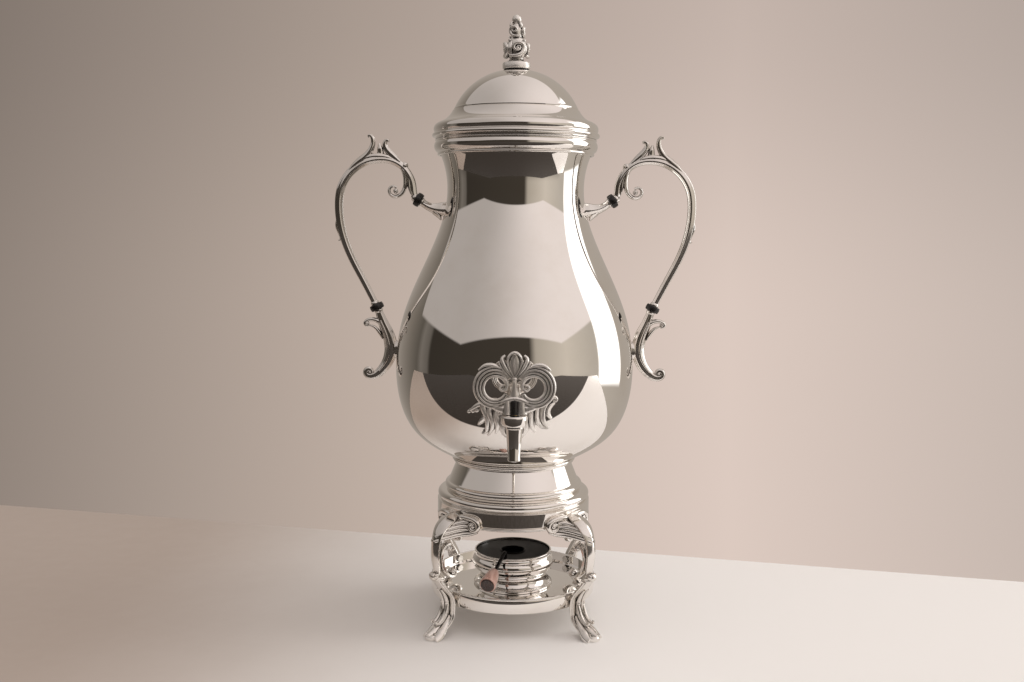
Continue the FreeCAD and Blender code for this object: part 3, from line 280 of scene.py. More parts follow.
class Shape:
    """Mesh of one piece while it is being made, in millimetres."""

    def __init__(self, name: str) -> None:
        """Start an empty mesh for the piece of this name."""
        self.name = name
        self.bm = bmesh.new()

    def _take(self, part: bmesh.types.BMesh, place: Matrix) -> None:
        """Add a finished part to the piece.

        Args:
            part: Mesh to add; it is freed.
            place: Where it goes.
        """
        bmesh.ops.recalc_face_normals(part, faces=part.faces[:])
        bmesh.ops.transform(part, matrix=place, verts=part.verts[:])
        mesh = bpy.data.meshes.new("part")
        part.to_mesh(mesh)
        part.free()
        self.bm.from_mesh(mesh)
        bpy.data.meshes.remove(mesh)

    def turned(self, outline: Sequence[Flat], place: Matrix = Matrix(), steps: int = 144) -> "Shape":
        """Add a body of revolution.

        Args:
            outline: Profile as (radius, height); it is closed unless both of its ends lie on the axis.
            place: Where the body's own axis goes.
            steps: Facets round the axis.

        Returns:
            This shape.
        """
        part = bmesh.new()
        verts = [part.verts.new((max(radius, 0.0), 0.0, height)) for radius, height in outline]
        edges = [part.edges.new(pair) for pair in zip(verts, verts[1:])]
        if outline[0][0] > 1e-6 or outline[-1][0] > 1e-6:
            edges.append(part.edges.new((verts[-1], verts[0])))
        bmesh.ops.spin(part, geom=verts + edges, cent=(0, 0, 0), axis=(0, 0, 1), dvec=(0, 0, 0),
                       angle=TURN, steps=steps, use_merge=True, use_normal_flip=False, use_duplicate=False)
        bmesh.ops.remove_doubles(part, verts=part.verts[:], dist=MERGE)
        self._take(part, place)
        return self

    def strand(self, chart: Chart, path: Sequence[Flat], across: Sequence[float] | float,
               deep: Sequence[float] | float, lift: Sequence[float] | float = 0.0, flutes: int = 0,
               groove: float = 0.0, around: int = 14, pitch: float = 0.9) -> "Shape":
        """Add a tapering, fluted strand that runs along a path on a chart.

        Args:
            chart: Surface that the path is drawn on.
            path: Points that the strand's middle passes through.
            across: Half width in the chart, along the path.
            deep: Half height out of the chart, along the path.
            lift: Height of the strand's middle over the chart, along the path.
            flutes: Number of flutes round the strand.
            groove: Depth of the flutes as a share of the strand's size.
            around: Facets round the strand.
            pitch: Distance between rings along it.

        Returns:
            This shape.
        """
        spline = Spline(path)
        along = int(min(140, max(8, spline.length / pitch)))
        around = max(around, 4 * flutes)
        part = bmesh.new()
        bmesh.ops.create_grid(part, x_segments=around, y_segments=along, size=1.0)
        reach = max(vert.co.x for vert in part.verts)
        rings = {}
        for vert in part.verts:
            share = round((vert.co.y / reach + 1.0) / 2.0, 5)
            if share not in rings:
                sizes = [taper(values, share) for values in (across, deep, lift)]
                rings[share] = (*spline.at(share), *spline.heading(share), *sizes)
            a, b, run, climb, wide, tall, base = rings[share]
            angle = TURN * (vert.co.x / reach + 1.0) / 2.0
            swell = 1.0 - groove * (0.5 - 0.5 * math.cos(flutes * angle))
            half = wide * swell * math.cos(angle)
            vert.co = chart(a - climb * half, b + run * half, base + tall * swell * math.sin(angle))
        bmesh.ops.remove_doubles(part, verts=part.verts[:], dist=MERGE)
        rims = [edge for edge in part.edges if edge.is_boundary]
        if rims:
            bmesh.ops.edgeloop_fill(part, edges=rims)
        self._take(part, Matrix())
        return self

    def button(self, chart: Chart, middle: Flat, radius: float, height: float, lift: float = 0.0) -> "Shape":
        """Add a rounded boss with a turned groove.

        Args:
            chart: Surface that it sits on.
            middle: Its centre in the chart.
            radius: Its radius.
            height: Its half height.
            lift: Height of its centre over the chart.

        Returns:
            This shape.
        """
        part = bmesh.new()
        bmesh.ops.create_grid(part, x_segments=20, y_segments=18, size=1.0)
        reach = max(vert.co.x for vert in part.verts)
        for vert in part.verts:
            angle = math.pi * (vert.co.x / reach + 1.0)
            lean = math.pi / 2.0 * vert.co.y / reach
            groove = math.exp(-((abs(lean) - GROOVE_LEAN) / GROOVE_WIDTH) ** 2)
            ring = 1.0 - GROOVE_DEPTH * groove
            out = radius * math.cos(lean) * ring
            vert.co = chart(middle[0] + out * math.cos(angle), middle[1] + out * math.sin(angle),
                            lift + height * math.sin(lean) * ring)
        bmesh.ops.remove_doubles(part, verts=part.verts[:], dist=MERGE)
        self._take(part, Matrix())
        return self

    def placed(self, place: Matrix) -> "Shape":
        """Move everything made so far by a transform, and return this shape."""
        bmesh.ops.transform(self.bm, matrix=place, verts=self.bm.verts[:])
        return self

    def piece(self, finish: "Finish", body: Body, *nodes: str, crease: float = 38.0) -> bpy.types.Object:
        """Write the mesh as an object of the scene.

        Args:
            finish: Its finish.
            body: Body that it rides on.
            nodes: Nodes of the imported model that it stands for.
            crease: Angle in degrees over which an edge is shaded sharp.

        Returns:
            The new object.
        """
        bm = self.bm
        bmesh.ops.transform(bm, matrix=Matrix.Scale(MM, 4), verts=bm.verts[:])
        bmesh.ops.recalc_face_normals(bm, faces=bm.faces[:])
        for face in bm.faces:
            face.smooth = True
        for edge in bm.edges:
            edge.smooth = edge.calc_face_angle(math.pi) < math.radians(crease)
        mesh = bpy.data.meshes.new(self.name)
        bm.to_mesh(mesh)
        bm.free()
        thing = bpy.data.objects.new(self.name, mesh)
        bpy.context.scene.collection.objects.link(thing)
        thing.data.materials.append(finish.material())
        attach(thing, body.value)
        if nodes:
            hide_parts(*nodes)
        log.info("%s: %d faces on %s", self.name, len(mesh.polygons), body.value)
        return thing


class Graph:
    """Node tree of one material or world while it is being wired."""

    def __init__(self, tree: bpy.types.NodeTree) -> None:
        """Start from a node tree, emptied."""
        self.tree = tree
        tree.nodes.clear()

    def node(self, kind: str, inputs: dict | None = None, **settings: object) -> bpy.types.Node:
        """Add a node.

        Args:
            kind: Node type.
            inputs: Values or output sockets for its inputs, by name or index.
            settings: Its properties.

        Returns:
            The new node.
        """
        made = self.tree.nodes.new(kind)
        for key, value in settings.items():
            setattr(made, key, value)
        for key, value in (inputs or {}).items():
            if isinstance(value, bpy.types.NodeSocket):
                self.tree.links.new(value, made.inputs[key])
            else:
                made.inputs[key].default_value = value
        return made

    def noise(self, vector: bpy.types.NodeSocket, scale: float, detail: float = 3.0,
              rough: float = 0.5) -> bpy.types.NodeSocket:
        """Add a noise texture with scale cells per metre, and return its grey output."""
        made = self.node("ShaderNodeTexNoise", {"Vector": vector, "Scale": scale, "Detail": detail,
                                                "Roughness": rough})
        return made.outputs["Fac"]

    def spread(self, value: bpy.types.NodeSocket, low: float, high: float, first: float = 0.0,
               last: float = 1.0) -> bpy.types.NodeSocket:
        """Map a value from one range to another, smoothly.

        Args:
            value: Value to map.
            low: Input that gives first.
            high: Input that gives last.
            first: Lowest output.
            last: Highest output.

        Returns:
            The mapped output.
        """
        made = self.node("ShaderNodeMapRange", {"Value": value, "From Min": low, "From Max": high,
                                                "To Min": first, "To Max": last},
                         interpolation_type="SMOOTHSTEP")
        return made.outputs["Result"]

    def feed(self, shader: bpy.types.Node, **sockets: bpy.types.NodeSocket) -> None:
        """Link output sockets to a shader's inputs, named with _ for a space."""
        for name, socket in sockets.items():
            self.tree.links.new(socket, shader.inputs[name.replace("_", " ")])

    def mix(self, share: bpy.types.NodeSocket | float, first: object, last: object) -> bpy.types.NodeSocket:
        """Mix two colours.

        Args:
            share: Share of the second colour.
            first: Colour or socket at 0.
            last: Colour or socket at 1.

        Returns:
            The mixed colour.
        """
        made = self.node("ShaderNodeMix", {"Factor": share}, data_type="RGBA")
        for index, value in ((6, first), (7, last)):
            if isinstance(value, bpy.types.NodeSocket):
                self.tree.links.new(value, made.inputs[index])
            else:
                made.inputs[index].default_value = (*value, 1.0)
        return made.outputs[2]

    def math(self, operation: str, first: object, last: object = 0.0) -> bpy.types.NodeSocket:
        """Add a math node and return its output."""
        return self.node("ShaderNodeMath", {0: first, 1: last}, operation=operation).outputs[0]

    def bump(self, height: bpy.types.NodeSocket, strength: float, distance: float,
             under: bpy.types.NodeSocket | None = None) -> bpy.types.NodeSocket:
        """Turn a height into a normal.

        Args:
            height: Height from 0 to 1.
            strength: Share of the effect.
            distance: Height in metres.
            under: Normal to build on.

        Returns:
            The normal.
        """
        inputs = {"Height": height, "Strength": strength, "Distance": distance}
        if under is not None:
            inputs["Normal"] = under
        return self.node("ShaderNodeBump", inputs).outputs["Normal"]


@dataclass(frozen=True)
class Finish:
    """A surface finish, made once and shared by its pieces."""

    name: str
    slot: str

    def material(self) -> bpy.types.Material:
        """Material of this finish.

        Returns:
            The material, made on first use.
        """
        known = bpy.data.materials.get(self.name)
        if known:
            return known
        made = bpy.data.materials.new(self.name)
        made.use_nodes = True
        graph = Graph(made.node_tree)
        shader = graph.node("ShaderNodeBsdfPrincipled")
        output = graph.node("ShaderNodeOutputMaterial")
        made.node_tree.links.new(shader.outputs[0], output.inputs[0])
        place = graph.node("ShaderNodeTexCoord").outputs["Object"]
        self.wire(graph, shader, place)
        return made

    def wire(self, graph: Graph, shader: bpy.types.Node, place: bpy.types.NodeSocket) -> None:
        """Wire the finish into its shader, on Object coordinates."""
        raise NotImplementedError


@dataclass(frozen=True)
class Metal(Finish):
    """Bare or plated metal with polish clouds, hairlines and recesses darkened by painted shade and tarnish.
    """

    bright: Colour = (0.90, 0.875, 0.84)
    tarnish: Colour = (0.74, 0.69, 0.62)
    recess_tarnish_and_shade: Colour = (0.10, 0.085, 0.07)
    metallic: float = 1.0
    smooth: float = 0.045
    dull: float = 0.10
    wave: float = 0.0
    grain: float = 0.0
    shade: float = 0.0
    cloud_scale: float = 26.0
    hairline_scale: float = 1900.0
    hairline_stretch: Triple = (1.0, 1.0, 0.06)
    wave_scale: float = 42.0
    grain_scale: float = 1500.0

    def wire(self, graph: Graph, shader: bpy.types.Node, place: bpy.types.NodeSocket) -> None:
        """Wire the metal.

        Args:
            graph: Node tree being filled.
            shader: Principled shader.
            place: Object coordinates.
        """
        shader.inputs["Metallic"].default_value = self.metallic
        clouds = graph.noise(place, self.cloud_scale, 4.0, 0.55)
        colour = graph.mix(graph.spread(clouds, 0.42, 0.78), self.bright, self.tarnish)
        # Painted shade: an ambient-occlusion mask pulls the colour to the near-black recess colour in creases
        # and between strands, partly as tarnish.
        if self.shade > 0.0:
            recess_occlusion = graph.node("ShaderNodeAmbientOcclusion", {"Distance": self.shade}, samples=12,
                              only_local=True)
            colour = graph.mix(graph.spread(recess_occlusion.outputs["AO"], 0.18, 0.72), self.recess_tarnish_and_shade, colour)
        graph.feed(shader, Base_Color=colour)
        stretch = graph.node("ShaderNodeMapping", {"Vector": place, "Scale": self.hairline_stretch})
        hairlines = graph.noise(stretch.outputs[0], self.hairline_scale, 2.0, 0.6)
        polish = graph.math("ADD", graph.math("MULTIPLY", clouds, 0.6),
                            graph.math("MULTIPLY", hairlines, 0.4))
        rough = graph.spread(polish, 0.3, 0.75, self.smooth, self.dull)
        graph.feed(shader, Roughness=rough)
        normal = None
        if self.wave > 0.0:
            normal = graph.bump(graph.noise(place, self.wave_scale, 1.5, 0.4), self.wave, 0.0006)
        if self.grain > 0.0:
            normal = graph.bump(graph.noise(place, self.grain_scale, 3.0, 0.6), self.grain, 0.00012, normal)
        if normal is not None:
            graph.feed(shader, Normal=normal)


@dataclass(frozen=True)
class Matter(Finish):
    """Non-metal with two tones, a grain direction and a fine surface."""

    light: Colour = (0.5, 0.5, 0.5)
    dark: Colour = (0.3, 0.3, 0.3)
    scale: float = 120.0
    stretch: Triple = (1.0, 1.0, 1.0)
    smooth: float = 0.4
    dull: float = 0.6
    grain: float = 0.2
    coat: float = 0.0

    def wire(self, graph: Graph, shader: bpy.types.Node, place: bpy.types.NodeSocket) -> None:
        """Wire the material.

        Args:
            graph: Node tree being filled.
            shader: Principled shader.
            place: Object coordinates.
        """
        shader.inputs["Coat Weight"].default_value = self.coat
        shader.inputs["Coat Roughness"].default_value = 0.12
        drawn = graph.node("ShaderNodeMapping", {"Vector": place, "Scale": self.stretch}).outputs[0]
        tone = graph.noise(drawn, self.scale, 5.0, 0.6)
        colour = graph.mix(graph.spread(tone, 0.32, 0.68), self.dark, self.light)
        graph.feed(shader, Base_Color=colour)
        rough = graph.spread(graph.noise(drawn, self.scale * 3.0), 0.3, 0.7, self.smooth, self.dull)
        graph.feed(shader, Roughness=rough)
        fine = graph.bump(graph.noise(drawn, self.scale * 9.0, 3.0, 0.65), self.grain, 0.0002)
        graph.feed(shader, Normal=fine)


POLISHED = Metal("polished_silver_plate", "polished_silver", bright=(0.93, 0.905, 0.875),
                 tarnish=(0.87, 0.835, 0.79), smooth=0.018, dull=0.042, wave=0.022)
# CAST and FROSTED paint shade, with tarnish, into their recesses.
CAST = Metal("cast_silver_ornament", "cast_silver", bright=(0.90, 0.875, 0.845), tarnish=(0.76, 0.715, 0.66),
             recess_tarnish_and_shade=(0.13, 0.115, 0.10), smooth=0.09, dull=0.19, grain=0.10, shade=0.0026)
FROSTED = Metal("frosted_silver_ornament", "cast_silver", bright=(0.93, 0.905, 0.875),
                tarnish=(0.80, 0.755, 0.70), recess_tarnish_and_shade=(0.10, 0.088, 0.078), metallic=0.84,
                smooth=0.25, dull=0.40, grain=0.12, shade=0.0034)
SCREW = Metal("bright_screw", "brass_fitting", bright=(0.86, 0.83, 0.79), tarnish=(0.70, 0.66, 0.60),
              smooth=0.12, dull=0.24, grain=0.1)
BRASS = Metal("turned_brass", "brass_fitting", bright=(0.80, 0.58, 0.26), tarnish=(0.52, 0.34, 0.14),
              smooth=0.16, dull=0.32, grain=0.1)
STEEL = Metal("drawn_steel", "steel_pin", bright=(0.60, 0.59, 0.57), tarnish=(0.42, 0.40, 0.38),
              smooth=0.2, dull=0.38, grain=0.15)
SOOT = Metal("sooted_metal", "burner_black", bright=(0.016, 0.014, 0.013), tarnish=(0.006, 0.0055, 0.005),
             smooth=0.40, dull=0.62, grain=0.35)
BLACK = Matter("black_composition", "black_insulator", light=(0.014, 0.012, 0.011),
               dark=(0.006, 0.005, 0.005), scale=240.0, smooth=0.26, dull=0.42, grain=0.08, coat=0.15)
RUBBER = Matter("black_rubber", "rubber_seal", light=(0.030, 0.029, 0.028), dark=(0.016, 0.016, 0.016),
                smooth=0.55, dull=0.75)
WOOD = Matter("varnished_wood", "knob_wood", light=(0.66, 0.44, 0.375), dark=(0.47, 0.275, 0.225),
              scale=420.0, stretch=(1.0, 0.10, 0.5), smooth=0.26, dull=0.42, grain=0.12, coat=0.35)
LACQUER = Matter("brown_lacquer", "dark_cap", light=(0.046, 0.021, 0.015), dark=(0.020, 0.009, 0.007),
                 scale=300.0, smooth=0.20, dull=0.34, grain=0.06, coat=0.4)
FELT = Matter("wick_felt", "wick_pad", light=(0.045, 0.040, 0.036), dark=(0.012, 0.011, 0.010), scale=900.0,
              smooth=0.85, dull=1.0, grain=0.9)


@dataclass(frozen=True)
class TableTop(Finish):
    """Pale satin table top with painted light, lighter to the right, and a painted dark reflection in front
    of the object that only reflected rays see.
    """

    # Left and right tones carry painted light: the left tone is the table in painted shade.
    left: Colour = (0.49, 0.418, 0.368)
    right: Colour = (0.95, 0.935, 0.92)
    # Colour that reflected rays see on the table in front of the object: a painted dark reflection.
    shade: Colour = (0.030, 0.024, 0.019)
    painted_light_band: Flat = (-0.29, 0.06)
    front: float = -0.195
    front_blur: float = 0.004
    skew: float = 0.20

    def wire(self, graph: Graph, shader: bpy.types.Node, place: bpy.types.NodeSocket) -> None:
        """Wire the table top.

        Args:
            graph: Node tree being filled.
            shader: Principled shader.
            place: Object coordinates.
        """
        x, y, _ = graph.node("ShaderNodeSeparateXYZ", {"Vector": place}).outputs
        clouds = graph.noise(place, 7.0, 4.0, 0.55)
        across = graph.math("ADD", x, graph.math("MULTIPLY", clouds, 0.05))
        # Painted light: darker at the left, lighter to the right, as the light falls.
        tone = graph.mix(graph.spread(across, *self.painted_light_band), self.left, self.right)
        # Painted reflection: seen from the silver, the table in front of the object turns to the dark shade
        # colour.
        ahead = graph.math("ADD", y, graph.math("MULTIPLY", x, self.skew))
        reflected_shade_zone = graph.spread(ahead, self.front + self.front_blur, self.front - self.front_blur)
        glossy = graph.node("ShaderNodeLightPath").outputs["Is Glossy Ray"]
        colour = graph.mix(graph.math("MULTIPLY", reflected_shade_zone, glossy), tone, self.shade)
        graph.feed(shader, Base_Color=colour)
        rough = graph.spread(graph.noise(place, 60.0), 0.3, 0.7, 0.55, 0.68)
        graph.feed(shader, Roughness=rough)
        fine = graph.bump(graph.noise(place, 700.0, 3.0, 0.6), 0.03, 0.0002)
        graph.feed(shader, Normal=fine)


TABLE = TableTop("pale_table_top", "stage")

PEAR_POINTS = ((43.0, 114.0), (68.9, 131.8), (81.6, 174.0), (75.0, 215.5), (57.4, 256.0), (46.5, 294.0),
               (49.2, 315.0), (51.0, 320.0))
PEAR = Spline(PEAR_POINTS)
PEAR_TABLE = np.array(PEAR.samples(600))


def pear_radius(height: float) -> float:
    """Outer radius of the urn at a height over the table."""
    return float(np.interp(height, PEAR_TABLE[:, 1], PEAR_TABLE[:, 0]))


def belly(a: float, b: float, lift: float) -> Vector:
    """Chart of the front of the urn.

    Args:
        a: X of the point.
        b: Height of the point.
        lift: Distance out from the shell.

    Returns:
        The point.
    """
    radius = pear_radius(b)
    lean = math.atan2(pear_radius(b + 1.0) - pear_radius(b - 1.0), 2.0)
    angle = math.asin(max(-0.99, min(0.99, a / radius)))
    reach = radius + lift * math.cos(lean)
    return Vector((reach * math.sin(angle), -reach * math.cos(angle), b - lift * math.sin(lean)))


def mirrored(points: Sequence[Flat], sign: float) -> list[Flat]:
    """Keep points of a chart's positive side with a sign of +1, or mirror them with -1."""
    return [(sign * a, b) for a, b in points]


def spun(name: str, outline: Sequence[Flat], finish: Finish, body: Body, node: str, steps: int = 144) -> None:
    """Make a piece that is one body of revolution about the urn's axis.

    Args:
        name: Name of the piece.
        outline: Its profile, as for Shape.turned.
        finish: Its finish.
        body: Body that it rides on.
        node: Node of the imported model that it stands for.
        steps: Facets round the axis.
    """
    Shape(name).turned(outline, steps=steps).piece(finish, body, node)


@dataclass
class Stand:
    """Spun stand with its gallery, its dish and four cast legs."""

    apron: float = 53.0
    dish: float = 57.4
    dish_floor: float = 21.2
    knee_top: float = 79.0
    knee_reach: float = 24.0
    knee_fall: float = 7.0
    knee_spread: float = 6.5
    bearings: tuple[tuple[str, float], ...] = (("front_left", 225.0), ("front_right", 315.0),
                                               ("back_right", 45.0), ("back_left", 135.0))

    def build(self) -> None:
        """Make all of the stand's pieces."""
        self.shell()
        self.gallery()
        self.plate()
        for place, bearing in self.bearings:
            self.leg(place, bearing)

    def skirt(self, a: float, b: float, lift: float) -> Vector:
        """Chart of the apron where it swells over the knee of the leg at +X.

        Args:
            a: Distance round the apron.
            b: Height.
            lift: Distance outward.

        Returns:
            The point.
        """
        drop = 1.0 - math.exp(-max(0.0, self.knee_top - b) / self.knee_fall)
        swell = self.knee_reach * drop * math.exp(-(a / self.knee_spread) ** 2)
        angle, radius = a / self.apron, self.apron + 0.1 + swell + lift
        return Vector((radius * math.cos(angle), radius * math.sin(angle), b))

    def shell(self) -> None:
        """Make the spun shell: apron, two swaged rings and conical neck."""
        edge = self.apron - 0.5
        outline = bulge((edge - 0.9, 72.5), (edge - 0.2, 74.3), 1.15, 9)
        outline += [(self.apron - 0.1, 75.0), (self.apron - 0.1, 83.6), (self.apron - 0.8, 84.2),
                    (50.8, 84.4)]
        outline += bulge((50.6, 84.7), (50.0, 90.5), 2.3, 16)
        outline += [(48.6, 90.9), (46.6, 91.1)] + bulge((46.0, 91.4), (45.4, 96.2), 1.95, 14)
        outline += [(45.0, 96.6), (44.8, 97.0), (40.6, 107.4)]
        outline += [(39.4, 107.4), (42.4, 97.0), (44.2, 89.8), (49.0, 89.2), (49.4, 82.8), (51.6, 82.4)]
        spun("stand_spun_shell", outline, POLISHED, Body.STAND, "stand_shell")

    def gallery(self) -> None:
        """Make the thin moulded ring that takes the urn's foot."""
        outline = [(36.2, 107.4), (40.6, 107.4), (39.6, 109.9)] + bulge((41.2, 110.1), (42.0, 110.9), 0.35, 6)
        outline += bulge((42.0, 111.1), (42.1, 113.1), 0.75, 10)
        outline += [(41.5, 113.1), (41.4, 110.9), (36.2, 110.8)]
        spun("stand_gallery_ring", outline, POLISHED, Body.STAND, "stand_gallery")

    def plate(self) -> None:
        """Make the dish between the legs, with a rolled rim."""
        rim = self.dish
        outline = [(0.0, 20.0), (rim - 2.2, 20.0), (rim - 1.2, 18.6), (rim - 0.3, 18.6), (rim, 19.2)]
        outline += [(rim, 26.6)] + bulge((rim - 0.2, 27.2), (rim - 1.3, 28.2), 1.0, 8)
        outline += [(rim - 1.3, 22.6), (rim - 2.4, 21.4), (0.0, self.dish_floor)]
        spun("warmer_dish", outline, POLISHED, Body.STAND, "warmer_plate")

    def leg(self, place: str, bearing: float) -> None:
        """Make one cast leg.

        Args:
            place: Which leg it is.
            bearing: Its angle about the urn's axis, in degrees.
        """
        shape = Shape(f"cast_leg_{place}")
        self.leg_stem(shape)
        self.leg_scrolls(shape)
        self.apron_leaf(shape)
        self.toe(shape)
        shape.placed(Matrix.Rotation(math.radians(bearing), 4, "Z"))
        shape.piece(CAST, Body.STAND, f"leg_{place}")

    def leg_stem(self, shape: Shape) -> None:
        """Add the knee and outer strand, and the ridged shank under the knot.

        Args:
            shape: Leg being made, in the +X direction.
        """
        plane = radial_plane(0.0)
        outer = curled(((54.4, 80.6), (61.6, 77.8), (68.6, 71.6), (71.8, 62.6), (72.0, 52.4), (71.4, 43.0)),
                       2.5, 0.9, 1.0)
        shape.strand(plane, outer, (1.8, 3.0, 3.3, 2.9, 2.7, 2.6, 2.2, 1.6, 1.1),
                     (4.6, 6.6, 6.0, 4.6, 4.1, 4.0, 3.6, 2.8, 2.0), flutes=5, groove=0.12, pitch=0.8)
        shank = ((71.8, 40.6), (66.8, 33.8), (61.0, 26.8), (59.2, 18.0), (60.6, 10.4), (65.2, 5.8),
                 (71.0, 3.9), (76.0, 3.4))
        shape.strand(plane, shank, (2.2, 2.7, 2.8, 2.7, 2.6, 2.5, 2.2, 1.6),
                     (3.6, 4.4, 4.6, 4.4, 4.2, 4.3, 4.6, 4.2), flutes=6, groove=0.13, pitch=0.8)
        knot = ((66.8, 38.8), (70.6, 40.4), (74.6, 41.0))
        shape.strand(plane, knot, (1.3, 2.6, 1.6), (3.2, 4.3, 3.0), flutes=6, groove=0.16)
        for lift in (-3.7, 3.7):
            shape.button(plane, (73.6, 42.8), 2.0, 1.2, 0.7 * lift)
            rib = ((70.6, 39.0), (65.4, 32.4), (60.4, 25.6), (59.0, 17.4), (60.8, 9.8), (65.4, 5.4))
            shape.strand(plane, rib, (0.6, 0.95, 0.95, 0.9, 0.8, 0.5), (0.6, 0.9, 0.9, 0.9, 0.8, 0.5),
                         1.08 * lift)

    def leg_scrolls(self, shape: Shape) -> None:
        """Add the S scroll inside the outer strand and the frill outside the shank.

        Args:
            shape: Leg being made, in the +X direction.
        """
        plane = radial_plane(0.0)
        top = curled(((68.2, 51.6), (67.9, 57.2), (65.4, 60.9), (62.0, 61.9)), 2.3, 0.95, 1.0, 0.35)
        shape.strand(plane, top, (1.5, 1.8, 1.8, 1.6, 1.3, 1.0, 0.7), (2.8, 3.2, 3.2, 2.9, 2.5, 2.1, 1.5),
                     flutes=6, groove=0.14)
        low = curled(((68.2, 53.0), (67.2, 47.6), (63.8, 42.4), (59.2, 39.6)), 2.7, 1.0, -1.0, 0.35)
        shape.strand(plane, low, (1.5, 1.8, 1.9, 1.8, 1.5, 1.2, 0.8), (2.8, 3.2, 3.4, 3.2, 2.8, 2.3, 1.6),
                     flutes=6, groove=0.14)
        for lift in (-2.6, 2.6):
            shape.button(plane, (62.2, 59.7), 1.3, 0.9, 0.7 * lift)
            shape.button(plane, (58.4, 42.0), 1.5, 1.0, 0.8 * lift)
            frill = curled(((69.0, 32.6), (64.8, 26.0), (63.9, 18.2), (66.6, 11.8), (70.8, 9.2)), 1.2, 0.6,
                           1.0)
            shape.strand(plane, frill, (0.6, 1.2, 1.3, 1.2, 1.0, 0.6), (0.7, 1.2, 1.3, 1.3, 1.1, 0.6),
                         0.7 * lift)
            for place, spot in enumerate(((64.6, 22.6), (65.0, 15.4))):
                shape.button(plane, spot, 1.3 - 0.2 * place, 1.0, 0.9 * lift)

    def apron_leaf(self, shape: Shape) -> None:
        """Add the leaf that sweeps from the knee over the apron, with a volute at each end.

        Args:
            shape: Leg being made, in the +X direction.
        """
        skirt = self.skirt
        shape.strand(skirt, ((-18.6, 74.8), (-9.0, 74.0), (0.0, 73.6), (9.0, 74.0), (18.6, 74.8)),
                     (2.4, 5.2, 6.4, 6.6, 6.4, 5.2, 2.4), (0.6, 1.0, 1.2, 1.2, 1.2, 1.0, 0.6), 0.3, around=20)
        for sign in (-1.0, 1.0):
            brow = curled(mirrored(((-0.5, 77.4), (5.0, 79.6), (11.0, 80.0), (15.6, 79.2)), sign), 4.3, 1.3,
                          -sign, 0.2)
            shape.strand(skirt, brow, (1.2, 1.8, 1.9, 1.8, 1.6, 1.2, 0.8),
                         (1.3, 1.9, 2.0, 1.9, 1.7, 1.3, 0.9), 1.6)
            for start, middle, end in ((74.8, 77.2, 77.0), (72.0, 74.6, 74.4), (69.4, 72.0, 72.0)):
                vein = mirrored(((0.4, start), (6.2, middle), (11.6, end)), sign)
                shape.strand(skirt, vein, (0.9, 1.5, 1.4, 0.6), (1.0, 1.7, 1.6, 0.7), (1.4, 1.5, 1.4, 1.2))
            hem = mirrored(((1.0, 66.2), (6.4, 68.8), (12.4, 69.6), (17.6, 71.2)), sign)
            shape.strand(skirt, hem, (0.9, 1.6, 1.6, 0.8), (1.0, 1.8, 1.7, 0.8), (1.2, 1.5, 1.4, 1.0))
            shape.button(skirt, (sign * 14.6, 75.0), 1.7, 1.6, 1.5)

    def toe(self, shape: Shape) -> None:
        """Add the leafy toe and the pad that it stands on.

        Args:
            shape: Leg being made, in the +X direction.
        """
        heel, tip, arch = 62.0, 76.0, 0.06
        spine = Spline(((heel, 13.0), (66.4, 8.0), (71.4, 5.2), (tip, 4.2)))

        def top(a: float, b: float, lift: float) -> Vector:
            """Chart of the toe's back: radius, distance sideways, height over it."""
            height = float(spine.at((a - heel) / (tip - heel))[1]) + lift - arch * b * b
            return Vector((a, b, max(0.15, height)))

        for fan in (-1.0, 0.0, 1.0):
            reach = 79.2 - 2.0 * abs(fan)
            path = ((62.6, 2.0 * fan), (67.6, 3.7 * fan), (73.0, 5.2 * fan), (reach, 5.6 * fan))
            shape.strand(top, path, (1.4, 2.4, 2.7, 1.6), (1.2, 2.0, 2.4, 1.5), (0.5, 0.7, 0.5, -1.2),
                         flutes=5, groove=0.08)
        plane = radial_plane(0.0)
        for sign in (-1.0, 1.0):
            frill = curled(((63.4, 24.0), (65.2, 17.6), (68.6, 12.2), (72.6, 10.2)), 1.3, 0.6, 1.0)
            shape.strand(plane, frill, (0.6, 1.2, 1.2, 1.0, 0.6), (0.7, 1.3, 1.3, 1.1, 0.6), sign * 2.3)
        pad = [(0.0, 0.0), (4.2, 0.0), (4.6, 0.4), (4.6, 2.2), (3.6, 3.4), (0.0, 3.8)]
        shape.turned(pad, Matrix.Translation((75.4, 0.0, 0.0)), 48)


